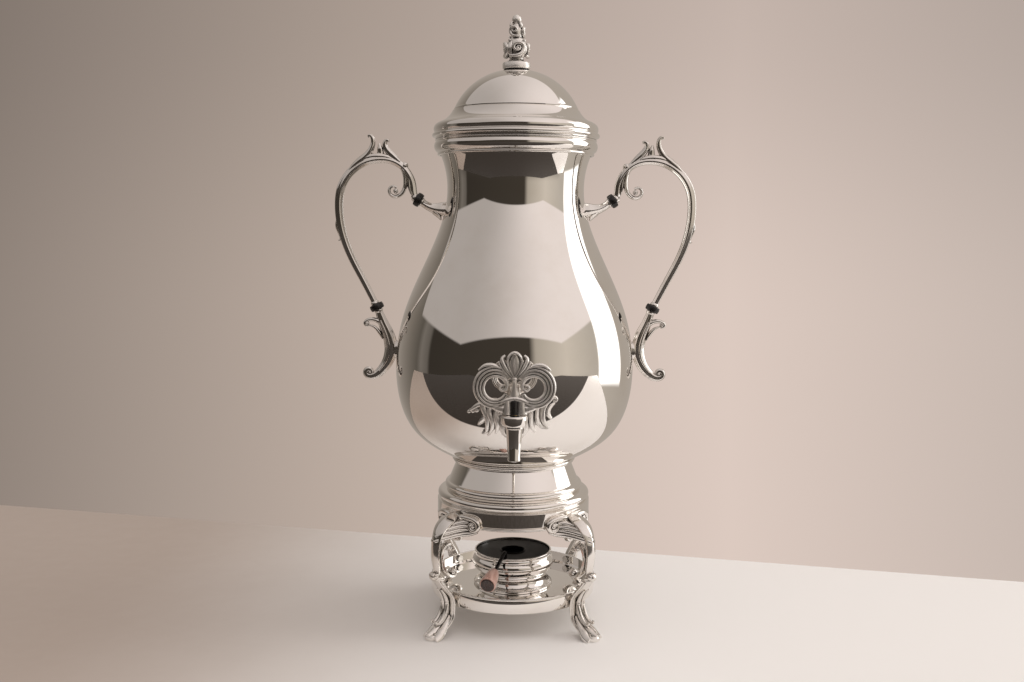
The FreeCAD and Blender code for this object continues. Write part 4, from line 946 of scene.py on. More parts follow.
@dataclass
class Vessel:
    """Pear-shaped shell with its mouth collar and foot ring."""

    wall: float = 1.2
    base: float = 114.0
    lip: float = 330.0
    facets: int = 120

    def build(self) -> None:
        """Make the shell and both rings."""
        floor = self.base + self.wall
        inner = []
        for place in range(0, self.facets, 2):
            share = place / (self.facets - 1)
            ahead, point = PEAR.heading(share), PEAR.at(share)
            inner.append((point[0] - ahead[1] * self.wall, max(point[1] + ahead[0] * self.wall, floor)))
        lip = [(51.0, 325.0), (51.0, self.lip - 0.2), (50.6, self.lip), (50.0, self.lip),
               (49.8, self.lip - 0.3)]
        outline = [(0.0, self.base), (40.0, self.base)] + PEAR.samples(self.facets)
        outline += lip + inner[::-1] + [(0.0, floor)]
        shell = Shape("urn_spun_shell").turned(outline, steps=192)
        shell.piece(POLISHED, Body.URN, "urn_bowl", "urn_shoulder", "urn_neck")
        self.collar()
        foot = [(37.0, 111.0), (40.6, 111.0), (41.1, 111.5), (41.1, 112.8), (40.6, 113.3), (41.4, self.base),
                (37.0, self.base)]
        spun("urn_foot_moulding", foot, POLISHED, Body.URN, "urn_foot_ring")

    def collar(self) -> None:
        """Make the rolled band round the mouth: a bead, a swelling band and a fine lip."""
        outline = [(51.05, 319.2)] + bulge((52.0, 319.2), (52.8, 320.8), 0.75, 8)
        outline += bulge((53.0, 321.1), (54.2, 328.6), 1.75, 18)
        outline += bulge((54.4, 328.8), (54.2, 329.9), 0.5, 7) + [(51.05, 330.0)]
        spun("mouth_rolled_collar", outline, POLISHED, Body.URN, "mouth_collar")


@dataclass
class Handle:
    """Cast scroll handle with its arm, bracket and heat breaks, drawn for the right-hand side."""

    side: Side
    break_length: float = 4.2
    break_radius: float = 4.9
    upper_seat: Flat = (68.0, 290.6)
    upper_tilt: float = 211.5
    lower_seat: Flat = (96.0, 218.0)
    lower_tilt: float = 243.0

    def build(self) -> None:
        """Make the handle's pieces on its side."""
        self.grip()
        self.arm()
        self.bracket()
        for level, seat, tilt in (("upper", self.upper_seat, self.upper_tilt),
                                  ("lower", self.lower_seat, self.lower_tilt)):
            self.heat_break(level, seat, tilt)

    def flip(self, shape: Shape) -> Shape:
        """Put a right-hand shape on this side, and return it."""
        return shape.placed(Matrix.Diagonal((self.side.value, 1.0, 1.0, 1.0)))

    def along(self, seat: Flat, tilt: float, distance: float) -> Flat:
        """Point at a distance along a heat break's axis, which leaves its seat at a tilt in degrees."""
        turn = math.radians(tilt)
        return seat[0] + distance * math.cos(turn), seat[1] + distance * math.sin(turn)

    def collet(self, shape: Shape, seat: Flat, tilt: float, start: float) -> None:
        """Add the plain shouldered end that seats against a heat break.

        Args:
            shape: Casting being made.
            seat: Where the break's axis starts.
            tilt: Direction of the axis in degrees.
            start: Distance along the axis at which the end's flat face lies.
        """
        outward = -1.0 if start <= 0.0 else 1.0
        path = [self.along(seat, tilt, start + outward * step) for step in (0.0, 0.7, 1.4, 2.1)]
        size = (2.9, 3.1, 2.9, 2.4)
        shape.strand(upright_plane(), path, size, size, around=24, pitch=0.2)

    def grip(self) -> None:
        """Make the loop with its forked thumb leaves and inner curl."""
        plane = upright_plane()
        shape = Shape(f"cast_handle_{self.side.word}")
        loop = ((96.0, 218.0), (104.4, 234.6), (113.0, 251.6), (118.6, 268.0), (120.6, 285.0), (118.6, 298.2),
                (112.2, 308.2), (102.6, 314.8), (91.5, 317.0), (83.6, 315.8), (77.0, 312.0), (72.0, 305.8),
                (69.6, 298.6), (69.0, 293.6), (67.9, 290.5))
        size = (2.3, 2.5, 2.7, 2.9, 3.0, 3.0, 2.9, 2.5, 2.3)
        shape.strand(plane, loop, size, size, flutes=5, groove=0.13, around=36, pitch=1.1)
        self.collet(shape, self.upper_seat, self.upper_tilt, 0.0)
        self.collet(shape, self.lower_seat, self.lower_tilt, 0.0)
        self.thumb_fork(shape)
        flange = ((80.6, 314.6), (76.8, 310.0), (74.9, 302.8), (75.9, 296.4), (79.2, 292.4), (82.8, 291.6),
                  (85.7, 293.8), (85.9, 296.8), (83.6, 298.6), (81.0, 297.8))
        shape.strand(plane, flange, (1.2, 1.6, 1.7, 1.5, 1.3, 1.1, 0.8), (1.5, 2.4, 2.5, 2.2, 1.9, 1.6, 1.1),
                     flutes=4, groove=0.10, pitch=0.6)
        shape.button(plane, (81.7, 295.3), 1.8, 2.2)
        shape.button(plane, (75.4, 312.4), 2.5, 2.9)
        web = ((76.4, 309.6), (73.0, 303.6), (72.2, 297.0), (71.0, 293.2))
        shape.strand(plane, web, (0.8, 1.3, 1.2, 0.6), (1.0, 1.5, 1.4, 0.7))
        spur = curled(((121.2, 279.0), (122.0, 270.0), (119.6, 262.6)), 1.2, 0.5, 1.0)
        shape.strand(plane, spur, (0.4, 0.9, 0.9, 0.5), (0.8, 1.7, 1.6, 0.8))
        self.flip(shape).piece(CAST, Body.URN, f"handle_{self.side.word}")

    def thumb_fork(self, shape: Shape) -> None:
        """Add the forked leaf on top of the loop.

        Args:
            shape: Loop being made.
        """
        plane = upright_plane()
        outer = curled(((113.4, 309.0), (108.2, 313.8), (101.4, 319.2), (97.7, 324.6), (96.9, 329.6),
                        (98.4, 332.4)),
                       1.2, 0.5, -1.0)
        inner = curled(((78.4, 314.8), (83.2, 318.8), (87.2, 322.8), (88.9, 326.4), (88.2, 329.0)), 1.3, 0.5,
                       1.0)
        for spread, scale in ((-1.5, 0.8), (0.0, 1.0), (1.5, 0.8)):
            shape.strand(plane, outer, [scale * width for width in (1.0, 2.0, 2.5, 2.3, 1.9, 1.5, 0.9)],
                         (0.8, 1.3, 1.5, 1.3, 1.1, 0.9, 0.5), spread)
            shape.strand(plane, inner, [scale * width for width in (1.0, 1.9, 2.3, 2.1, 1.6, 0.9)],
                         (0.8, 1.2, 1.4, 1.2, 0.9, 0.5), spread)
        drop = ((92.0, 317.6), (92.0, 321.4), (92.3, 324.6), (92.8, 327.2))
        shape.strand(plane, drop, (3.4, 2.4, 2.0, 0.7), (2.2, 1.6, 1.5, 0.6))
        saddle = ((107.0, 314.6), (100.6, 318.2), (93.6, 319.2), (87.0, 318.4), (80.4, 315.6))
        shape.strand(plane, saddle, (0.6, 1.6, 1.7, 1.6, 0.8), (1.2, 3.1, 3.6, 3.1, 1.4), flutes=5,
                     groove=0.12)

    def arm(self) -> None:
        """Make the short arm on the neck, which swells into a pointed leaf."""
        plane = upright_plane()
        shape = Shape(f"cast_arm_{self.side.word}")
        start = self.along(self.upper_seat, self.upper_tilt, self.break_length)
        path = (start, (60.0, 285.4), (55.6, 283.8), (51.0, 283.2), (46.8, 283.2))
        shape.strand(plane, path, (2.6, 2.6, 3.0, 3.8, 4.8, 5.0), (2.6, 2.6, 3.0, 3.7, 4.4, 4.6), flutes=4,
                     groove=0.13)
        self.collet(shape, self.upper_seat, self.upper_tilt, self.break_length)
        leaf = ((57.6, 283.0), (54.0, 280.6), (51.6, 277.6), (50.8, 275.8))
        shape.strand(plane, leaf, (1.2, 2.2, 1.8, 0.5), (1.4, 2.8, 2.4, 0.6), flutes=4, groove=0.12)
        self.flip(shape).piece(CAST, Body.URN, f"upper_arm_{self.side.word}")

    def bracket(self) -> None:
        """Make the scroll bracket on the belly."""
        plane = upright_plane()
        shape = Shape(f"cast_bracket_{self.side.word}")
        start = self.along(self.lower_seat, self.lower_tilt, self.break_length)
        path = curled((start, (90.6, 204.6), (87.0, 196.0), (85.6, 187.6), (87.6, 178.8), (92.2, 172.0),
                       (96.8, 168.6), (100.4, 168.0)), 2.9, 1.1, 1.0)
        shape.strand(plane, path, (2.5, 3.4, 4.2, 4.5, 4.2, 3.6, 2.8, 2.0, 1.6),
                     (2.5, 3.0, 3.6, 3.8, 3.6, 3.2, 2.7, 2.2, 1.8), flutes=6, groove=0.13, around=32)
        self.collet(shape, self.lower_seat, self.lower_tilt, self.break_length)
        frond = curled(((90.6, 203.4), (94.8, 206.6), (99.2, 207.4), (102.6, 206.2)), 1.9, 0.9, -1.0, 0.4)
        shape.strand(plane, frond, (1.6, 1.8, 1.5, 1.2, 1.0, 0.7), (2.0, 2.2, 1.8, 1.5, 1.3, 0.9))
        under = ((101.0, 203.4), (97.6, 202.6), (94.0, 199.2), (91.0, 194.0))
        shape.strand(plane, under, (0.6, 1.1, 1.3, 0.8), (0.9, 1.6, 1.8, 1.0))
        shape.button(plane, (102.2, 204.4), 1.3, 1.6)
        spine = ((92.4, 207.0), (88.2, 196.4), (86.6, 187.0), (88.8, 178.6), (93.6, 172.0))
        for lift in (-3.4, 3.4):
            shape.strand(plane, spine, (0.5, 0.9, 1.0, 0.8, 0.4), (0.5, 0.8, 0.9, 0.8, 0.4), lift)
        shape.button(plane, (100.2, 171.0), 1.6, 2.4)
        lug = ((85.0, 186.4), (82.0, 186.6), (79.6, 186.6))
        shape.strand(plane, lug, (4.6, 6.0, 7.0), (3.0, 3.2, 3.4))
        self.flip(shape).piece(CAST, Body.URN, f"lower_bracket_{self.side.word}")

    def heat_break(self, level: str, seat: Flat, tilt: float) -> None:
        """Make one black heat-break ring.

        Args:
            level: Upper or lower.
            seat: Where its axis starts.
            tilt: Direction of the axis in degrees.
        """
        ends, rim = (0.02, self.break_length - 0.02), self.break_radius
        outline = fillet([(1.4, ends[0]), (rim - 0.3, ends[0]), (rim, self.break_length / 2),
                          (rim - 0.3, ends[1]), (1.4, ends[1])], 1.3, 6)
        turn = Matrix.Rotation(math.radians(90.0 - tilt), 4, "Y")
        place = Matrix.Translation((seat[0], 0.0, seat[1])) @ turn
        shape = Shape(f"heat_break_{level}_{self.side.word}").turned(outline, place, 48)
        self.flip(shape).piece(BLACK, Body.URN, f"{level}_insulator_{self.side.word}")


@dataclass
class Tap:
    """Tap with its cone, bonnet, leaf plate and pierced key."""

    reach: float = 108.0
    level: float = 149.0
    eye_middle: Flat = (11.6, 176.8)
    eye_size: Flat = (6.7, 7.1)
    loop_middle: Flat = (11.9, 177.4)
    loop_size: Flat = (12.1, 12.2)

    def build(self) -> None:
        """Make all of the tap's pieces."""
        self.barrel()
        self.bonnet()
        self.leaf_plate()
        self.key()

    def barrel(self) -> None:
        """Make the cone-shaped barrel with its spout and shank."""
        cone = [(2.4, 132.8), (3.5, 132.8), (3.9, 133.2), (3.9, 134.0), (3.7, 134.4), (4.7, 148.0),
                (5.0, 152.4)]
        cone += [(5.7, 153.0), (5.7, 154.2), (3.4, 154.2), (3.4, 143.2), (2.4, 143.2)]
        upright = Matrix.Translation((0.0, -self.reach, 0.0))
        shape = Shape("tap_barrel").turned(cone, upright, 64)
        shank = [(0.0, 0.0), (4.2, 0.0), (4.7, 2.0), (4.7, 14.0), (5.9, 14.6), (6.3, 15.8), (5.9, 17.0),
                 (5.0, 17.6)]
        shank += [(5.0, 23.0), (6.2, 25.0), (6.8, 28.0), (5.0, 29.0), (5.0, 42.4), (0.0, 42.4)]
        lying = Matrix.Translation((0.0, -self.reach, self.level)) @ Matrix.Rotation(-math.pi / 2, 4, "X")
        shape.turned(shank, lying, 64).piece(POLISHED, Body.URN, "spigot_body")

    def bonnet(self) -> None:
        """Make the collar on top of the barrel."""
        outline = fillet([(2.1, 154.2), (7.2, 154.2), (7.8, 155.6), (8.0, 157.4), (8.0, 159.6), (7.4, 160.6),
                          (2.1, 160.6)], 0.6)
        shape = Shape("tap_bonnet").turned(outline, Matrix.Translation((0.0, -self.reach, 0.0)), 72)
        shape.piece(POLISHED, Body.URN, "spigot_bonnet")

    def leaf_plate(self) -> None:
        """Make the cast leaf plate on the belly behind the tap."""
        shape = Shape("tap_leaf_plate")
        shape.strand(belly, ((-18.0, 155.0), (-10.0, 152.0), (0.0, 150.5), (10.0, 152.0), (18.0, 156.0)),
                     (1.0, 3.6, 6.2, 8.0, 6.2, 3.6, 1.0), (0.6, 0.9, 1.1, 1.2, 1.1, 0.9, 0.6), 0.4, around=24)
        fronds = (
            ((-11.0, 165.0), (-19.2, 162.4), (-17.0, 155.4), (-16.2, 149.4), (-17.4, 144.8), (-19.6, 143.6)),
            ((-11.0, 163.4), (-15.4, 158.9), (-13.3, 151.8), (-13.8, 146.4), (-15.9, 142.6)),
            ((-9.0, 161.6), (-11.4, 156.0), (-10.2, 150.1), (-11.2, 144.0)),
            ((-16.8, 154.6), (-19.6, 152.2), (-21.8, 149.2)),
            ((21.0, 147.6), (17.9, 152.0), (17.2, 157.0), (18.6, 162.4), (21.4, 165.8)),
            ((14.6, 163.0), (13.8, 158.2), (14.0, 152.6), (16.8, 148.5), (20.2, 147.2)),
            ((24.4, 163.6), (20.9, 160.6), (20.4, 156.7), (22.6, 153.6)),
            ((10.4, 161.6), (10.2, 155.4), (10.7, 149.2), (12.8, 145.0)),
        )
        for frond in fronds:
            shape.strand(belly, frond, (1.1, 1.8, 2.0, 1.7, 0.9), (1.3, 2.1, 2.3, 2.0, 1.0), 1.5, flutes=3,
                         groove=0.2, pitch=0.6)
        horn = curled(((18.4, 161.0), (20.6, 165.2), (23.4, 167.0)), 1.7, 0.95, -1.0)
        shape.strand(belly, horn, (1.3, 1.5, 1.3, 1.0, 0.7), (1.5, 1.9, 1.7, 1.4, 1.0), 2.0, pitch=0.5)
        tip = ((-17.0, 163.0), (-21.0, 162.2), (-24.4, 160.2), (-27.2, 158.0))
        shape.strand(belly, tip, (1.2, 1.5, 1.2, 0.7), (1.4, 1.7, 1.3, 0.7), 1.6, pitch=0.5)
        for place, size in enumerate((1.6, 1.4, 1.1)):
            shape.button(belly, (-23.0 - 2.4 * place, 158.6 - 0.7 * place), size, size * 0.8, 1.3)
        shape.button(belly, (0.0, 149.0), 9.4, 2.6, 1.4)
        shape.piece(FROSTED, Body.URN, "spigot_escutcheon")

    def ring(self, sign: float, share: float, first: float, last: float) -> list[Flat]:
        """Line round one loop of the key, between its eye and its edge.

        Args:
            sign: Side of the key.
            share: 0 at the eye, 1 at the edge.
            first: Start angle in degrees, 0 pointing outward.
            last: End angle.

        Returns:
            The line's points.
        """
        points = []
        for angle in np.radians(np.linspace(first, last, 21)):
            spot = []
            for axis, swing in ((0, math.cos(angle)), (1, math.sin(angle))):
                inner = self.eye_middle[axis] + self.eye_size[axis] * swing
                outer = self.loop_middle[axis] + self.loop_size[axis] * swing
                spot.append(inner + (outer - inner) * share)
            points.append((sign * spot[0], spot[1]))
        return points

    def key(self) -> None:
        """Make the pierced key: two ridged loops, a shell bud and a saddle over the black stem, whose black
        is partly painted shade in the saddle's arch.
        """
        plane = upright_plane(-self.reach)
        shape = Shape("tap_key")
        for sign in (-1.0, 1.0):
            shape.strand(plane, self.ring(sign, 0.52, -150.0, 145.0), 2.5, (0.8, 0.9, 0.9, 0.9, 0.8),
                         around=20)
            for share, half, thick, last in ((0.04, 1.0, 1.8, 192.0), (0.36, 0.95, 2.0, 146.0),
                                             (0.68, 1.0, 2.3, 142.0), (0.98, 0.95, 2.0, 138.0)):
                line = self.ring(sign, share, -150.0, last)
                shape.strand(plane, line, (half * 0.7, half, half, half, half * 0.6),
                             (thick * 0.8, thick, thick, thick, 1.0))
            curl = curled(mirrored(((9.4, 184.0), (6.0, 182.4), (4.5, 179.4), (5.2, 176.4)), sign), 2.1, 0.95,
                          sign, 0.3)
            shape.strand(plane, curl, (0.8, 1.1, 1.1, 1.0, 0.9, 0.6), (1.6, 2.0, 2.0, 1.8, 1.6, 1.1),
                         pitch=0.5)
            brow = mirrored(((21.4, 187.4), (17.6, 190.2), (12.6, 190.4), (8.0, 188.4)), sign)
            shape.strand(plane, brow, (0.5, 1.1, 1.2, 0.7), (1.0, 1.9, 2.0, 1.3))
            saddle = mirrored(((15.4, 166.6), (10.4, 165.0), (6.6, 164.2)), sign)
            shape.strand(plane, saddle, (0.8, 2.0, 2.8), (1.2, 1.8, 2.0))
            cheek = mirrored(((4.5, 169.4), (4.5, 165.0), (4.7, 161.1)), sign)
            shape.strand(plane, cheek, (2.2, 2.5, 2.9), (2.0, 2.3, 2.4))
            lobe = mirrored(((0.9, 182.8), (4.0, 187.0), (6.6, 191.2), (7.3, 194.6), (5.6, 196.2)), sign)
            shape.strand(plane, lobe, (0.5, 1.1, 1.5, 1.3, 0.7), (1.2, 2.0, 2.3, 2.0, 1.0))
            wing = mirrored(((1.6, 182.2), (5.4, 186.2), (8.4, 190.2), (9.4, 192.8)), sign)
            shape.strand(plane, wing, (0.4, 0.8, 0.9, 0.5), (1.0, 1.7, 1.8, 1.0))
        rim = ((0.0, 182.8), (-2.4, 186.8), (-4.0, 191.0), (-3.4, 195.6), (0.0, 197.9), (3.4, 195.6),
               (4.0, 191.0),
               (2.4, 186.8), (0.0, 182.8))
        shape.strand(plane, rim, (0.5, 0.8, 0.9, 0.8, 0.5), (1.8, 2.4, 2.6, 2.4, 1.8), pitch=0.6)
        shape.strand(plane, ((0.0, 183.0), (0.0, 189.0), (0.0, 196.6)), (0.8, 3.2, 3.8, 2.0),
                     (1.0, 1.1, 1.1, 0.8))
        shape.strand(plane, ((0.0, 184.4), (0.0, 189.6), (0.0, 194.8)), (0.4, 0.8, 1.0, 0.4),
                     (1.3, 1.9, 2.0, 1.2))
        shape.strand(plane, ((0.0, 182.4), (0.0, 177.0), (0.0, 170.6)), (0.9, 1.6, 2.2, 3.4),
                     (1.2, 1.5, 1.6, 1.8))
        shape.button(plane, (0.0, 182.2), 1.8, 2.4)
        shape.strand(plane, ((-8.4, 168.0), (-4.0, 169.8), (0.0, 170.6), (4.0, 169.8), (8.4, 168.0)),
                     (1.6, 1.9, 1.6, 1.9, 1.6), (1.8, 2.3, 2.4, 2.3, 1.8))
        shape.piece(FROSTED, Body.KEY, "spigot_key")
        # Black sleeve: partly the stem's own dark finish, partly painted shade that fills the arch under the
        # saddle.
        stem = [(0.0, 163.4), (2.05, 163.4), (2.05, 160.7), (2.5, 160.8), (2.7, 161.6), (2.5, 162.4),
                (2.5, 168.4), (1.8, 170.0)]
        arch_shade_sleeve = Shape("tap_stem_sleeve").turned(stem + [(0.0, 170.2)],
                                                 Matrix.Translation((0.0, -self.reach, 0.0)), 40)
        arch_shade_sleeve.piece(BLACK, Body.KEY)


@dataclass
class Lid:
    """Domed lid with a stepped rim, a bezel and a cast scroll finial."""

    bulb: float = 6.7
    bud: float = 4.0

    def build(self) -> None:
        """Make all of the lid's pieces."""
        self.cover()
        bezel = fillet([(48.2, 321.6), (49.2, 321.9), (49.2, 330.0), (48.2, 330.0)], 0.3)
        spun("lid_bezel_ring", bezel, POLISHED, Body.LID, "lid_bezel")
        washer = fillet([(2.1, 376.1), (8.4, 376.1), (8.4, 377.1), (2.1, 377.1)], 0.25)
        spun("finial_seat_ring", washer, BLACK, Body.LID, "finial_washer", 64)
        self.finial()

    def cover(self) -> None:
        """Make the cover: stepped rim, hollow flare, crease and dome."""
        outline = [(46.6, 330.0), (54.4, 330.0), (54.6, 330.3), (54.6, 331.0), (55.4, 331.2)]
        outline += bulge((55.8, 331.3), (55.8, 333.9), 0.9, 9) + [(55.0, 334.2), (54.9, 334.5)]
        outline += bulge((55.2, 334.7), (53.6, 340.4), 1.2, 14) + [(52.9, 340.7), (52.6, 340.9)]
        outline += bulge((52.4, 341.1), (42.9, 349.2), -1.3, 20)
        outline += [(42.4, 349.4), (41.9, 349.9), (42.0, 350.5)]
        outline += bulge((41.8, 350.7), (9.0, 376.0), 5.2, 40)
        outline += [(0.0, 376.6), (0.0, 374.9)]
        outline += bulge((9.0, 374.8), (40.7, 349.6), -5.0, 24) + bulge((41.0, 348.4), (51.8, 339.4), 1.1, 12)
        outline += [(53.0, 337.6), (53.0, 331.6), (46.6, 331.4)]
        spun("lid_spun_cover", outline, POLISHED, Body.LID, "lid_cover", 192)

    def finial(self) -> None:
        """Make the cast finial: a plinth, a bulb and a bud of scrolls, and a bead."""
        shape = Shape("cast_finial")
        core = [(0.0, 370.8), (2.0, 370.8), (2.0, 377.1), (8.9, 377.1), (9.4, 377.6), (9.4, 380.4),
                (9.0, 381.2)]
        core += [(7.2, 381.8), (5.4, 382.4), (4.7, 383.4), (4.8, 384.6), (5.4, 385.4), (6.3, 388.0),
                 (6.5, 391.5)]
        core += [(5.8, 395.0), (4.2, 397.2), (3.5, 398.2), (3.8, 400.0), (3.9, 402.6), (3.4, 405.0),
                 (2.4, 406.6)]
        core += bulge((2.2, 406.9), (0.0, 413.1), 2.0, 12)
        shape.turned(core, steps=64)
        for bearing in (270.0, 0.0, 90.0, 180.0):
            skin = drum(self.bulb)
            start = self.bulb * math.radians(bearing)
            sweep = ((-4.2, 385.6), (-0.6, 385.2), (2.6, 386.6), (4.1, 389.4))
            scroll = curled([(start + a, b) for a, b in sweep], 3.6, 1.45, 1.0, 0.16)
            shape.strand(skin, scroll, (0.8, 1.2, 1.3, 1.3, 1.1, 0.8, 0.5),
                         (1.0, 1.5, 1.7, 1.8, 1.6, 1.2, 0.8), 0.9, pitch=0.4)
            shape.button(skin, (start + 0.4, 390.0), 1.0, 1.2, 1.2)
            petal = curled(((4.6, 384.6), (6.8, 387.4), (7.3, 391.2), (6.2, 394.6)), 1.0, 0.6, -1.0)
            shape.strand(radial_plane(bearing + 48.0), petal, (0.7, 1.1, 1.2, 1.0, 0.5),
                         (1.1, 1.9, 2.2, 1.7, 0.8), flutes=4, groove=0.12, pitch=0.5)
        for bearing in (255.0, 15.0, 135.0):
            skin = drum(self.bud)
            start = self.bud * math.radians(bearing)
            sweep = ((2.8, 398.6), (0.2, 398.4), (-2.0, 399.6), (-2.9, 402.0))
            scroll = curled([(start + a, b) for a, b in sweep], 2.3, 1.3, -1.0, 0.18)
            shape.strand(skin, scroll, (0.6, 0.9, 1.0, 0.9, 0.7, 0.4), (0.9, 1.2, 1.4, 1.3, 1.0, 0.6), 0.7,
                         pitch=0.35)
            sprig = ((3.4, 403.6), (4.2, 405.4), (3.4, 407.6), (2.2, 409.0))
            shape.strand(radial_plane(bearing + 60.0), sprig, (0.5, 0.8, 0.7, 0.3), (0.8, 1.3, 1.0, 0.4),
                         pitch=0.4)
        shape.piece(FROSTED, Body.LID, "finial")


@dataclass
class Burner:
    """Small burner in the dish, with the damper that turns on its fuel cup."""

    floor: float = 21.2
    bearing: float = 254.5
    slope: float = 13.5
    knob_start: float = 46.0
    rim_height: float = 45.8
    rim_radius: float = 27.0
    rod_clearance: float = 1.7

    def build(self) -> None:
        """Make all of the burner's and the damper's pieces."""
        self.bowl()
        self.damper()

    def bowl(self) -> None:
        """Make the foot, the bulging bowl and the black fuel cup."""
        foot = [(0.0, self.floor), (27.0, self.floor), (27.5, 21.6), (27.5, 22.6), (26.9, 23.2), (26.0, 23.4)]
        foot += bulge((25.6, 23.6), (23.4, 30.2), -1.0, 10) + [(23.9, 30.7), (23.6, 31.5), (0.0, 31.5)]
        spun("burner_spun_foot", foot, POLISHED, Body.BURNER, "burner_foot")
        bowl = [(0.0, 31.5), (23.2, 31.5)] + bulge((23.6, 31.7), (27.4, 34.4), 0.7, 8)
        bowl += bulge((27.5, 34.6), (27.5, 41.2), 1.0, 12) + [(27.0, 41.8), (26.6, 42.4), (26.6, 44.4)]
        bowl += bulge((26.7, 44.7), (26.4, 45.8), 0.5, 7)
        bowl += [(26.0, 45.7), (26.0, 37.9), (23.4, 32.7), (0.0, 32.7)]
        spun("burner_spun_bowl", bowl, POLISHED, Body.BURNER, "burner_bowl")
        cup = [(0.0, 32.7), (22.4, 32.7), (22.8, 33.1), (22.8, 43.1), (22.6, 43.3), (22.2, 43.3),
               (22.0, 43.1)]
        cup += [(22.0, 33.5), (0.0, 33.5)]
        spun("fuel_cup", cup, SOOT, Body.BURNER, "burner_cup")
        wick = [(0.0, 33.5), (21.4, 33.5), (21.6, 33.9), (21.6, 38.4)]
        wick += bulge((21.3, 38.9), (18.0, 39.5), 0.3, 5) + [(12.0, 39.2), (6.0, 39.5), (0.0, 39.3)]
        spun("wick_pad_felt", wick, FELT, Body.BURNER, "burner_wick")

    def spot(self, reach: float) -> Vector:
        """Point on the damper rod's axis.

        Args:
            reach: Level distance from the burner's axis.

        Returns:
            The point.
        """
        fall, turn = math.radians(self.slope), math.radians(self.bearing)
        rise = self.rod_clearance / math.cos(fall) + (self.rim_radius - reach) * math.tan(fall)
        return Vector((reach * math.cos(turn), reach * math.sin(turn), self.rim_height + rise))

    def damper(self) -> None:
        """Make the damper's plate, bent rod, wooden knob and dark cap."""
        ring = fillet([(8.0, 43.3), (25.6, 43.3), (25.6, 44.3), (24.6, 44.3), (9.4, 44.3), (8.6, 45.0),
                       (8.0, 44.6)], 0.3)
        spun("damper_disc", ring, SOOT, Body.DAMPER, "damper_plate")
        plane = radial_plane(self.bearing)
        rod = Shape("damper_bent_rod")
        path = [(20.0, 44.3), (20.1, 46.4), (20.9, 48.4)]
        path += [(reach, self.spot(reach).z) for reach in (23.0, 30.0, self.knob_start)]
        rod.strand(plane, path, 1.3, 1.3, around=16, pitch=0.6)
        rod.button(plane, (20.0, 44.5), 2.4, 0.7)
        rod.piece(SOOT, Body.DAMPER, "damper_rod")
        axis = (self.spot(62.0) - self.spot(self.knob_start)).normalized()
        lean = axis.to_track_quat("Z", "Y").to_matrix().to_4x4()
        place = Matrix.Translation(self.spot(self.knob_start)) @ lean
        knob = [(0.0, 0.0), (2.4, 0.0), (3.0, 0.5)] + bulge((3.3, 1.0), (5.2, 14.8), 0.4, 12)
        knob += [(5.4, 15.6), (5.3, 16.3), (4.9, 16.7), (4.5, 16.5), (0.0, 16.5)]
        Shape("damper_wood_knob").turned(knob, place, 56).piece(WOOD, Body.DAMPER, "damper_knob")
        cap = [(0.0, 16.5), (4.4, 16.5), (4.5, 16.8), (4.4, 17.2), (4.0, 17.5), (3.4, 17.4), (0.0, 17.0)]
        Shape("damper_dark_cap").turned(cap, place, 56).piece(LACQUER, Body.DAMPER, "damper_ferrule")


SOLID_FINISHES: tuple[tuple[str, Finish], ...] = (
    ("leg_screws_upper", SCREW), ("leg_screws_lower", SCREW), ("upper_handle_pins", STEEL),
    ("lower_handle_pins", STEEL), ("spigot_packing", RUBBER), ("spigot_gasket", RUBBER),
    ("spigot_nut", BRASS), ("spigot_plug", BRASS), ("finial_nut", BRASS),
)


def dress_solids() -> None:
    """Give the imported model's own solids that stay in sight their finishes."""
    for name, finish in SOLID_FINISHES:
        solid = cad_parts[name]
        solid.data.materials.clear()
        solid.data.materials.append(finish.material())
        log.info("%s keeps its solid, in %s", name, finish.name)


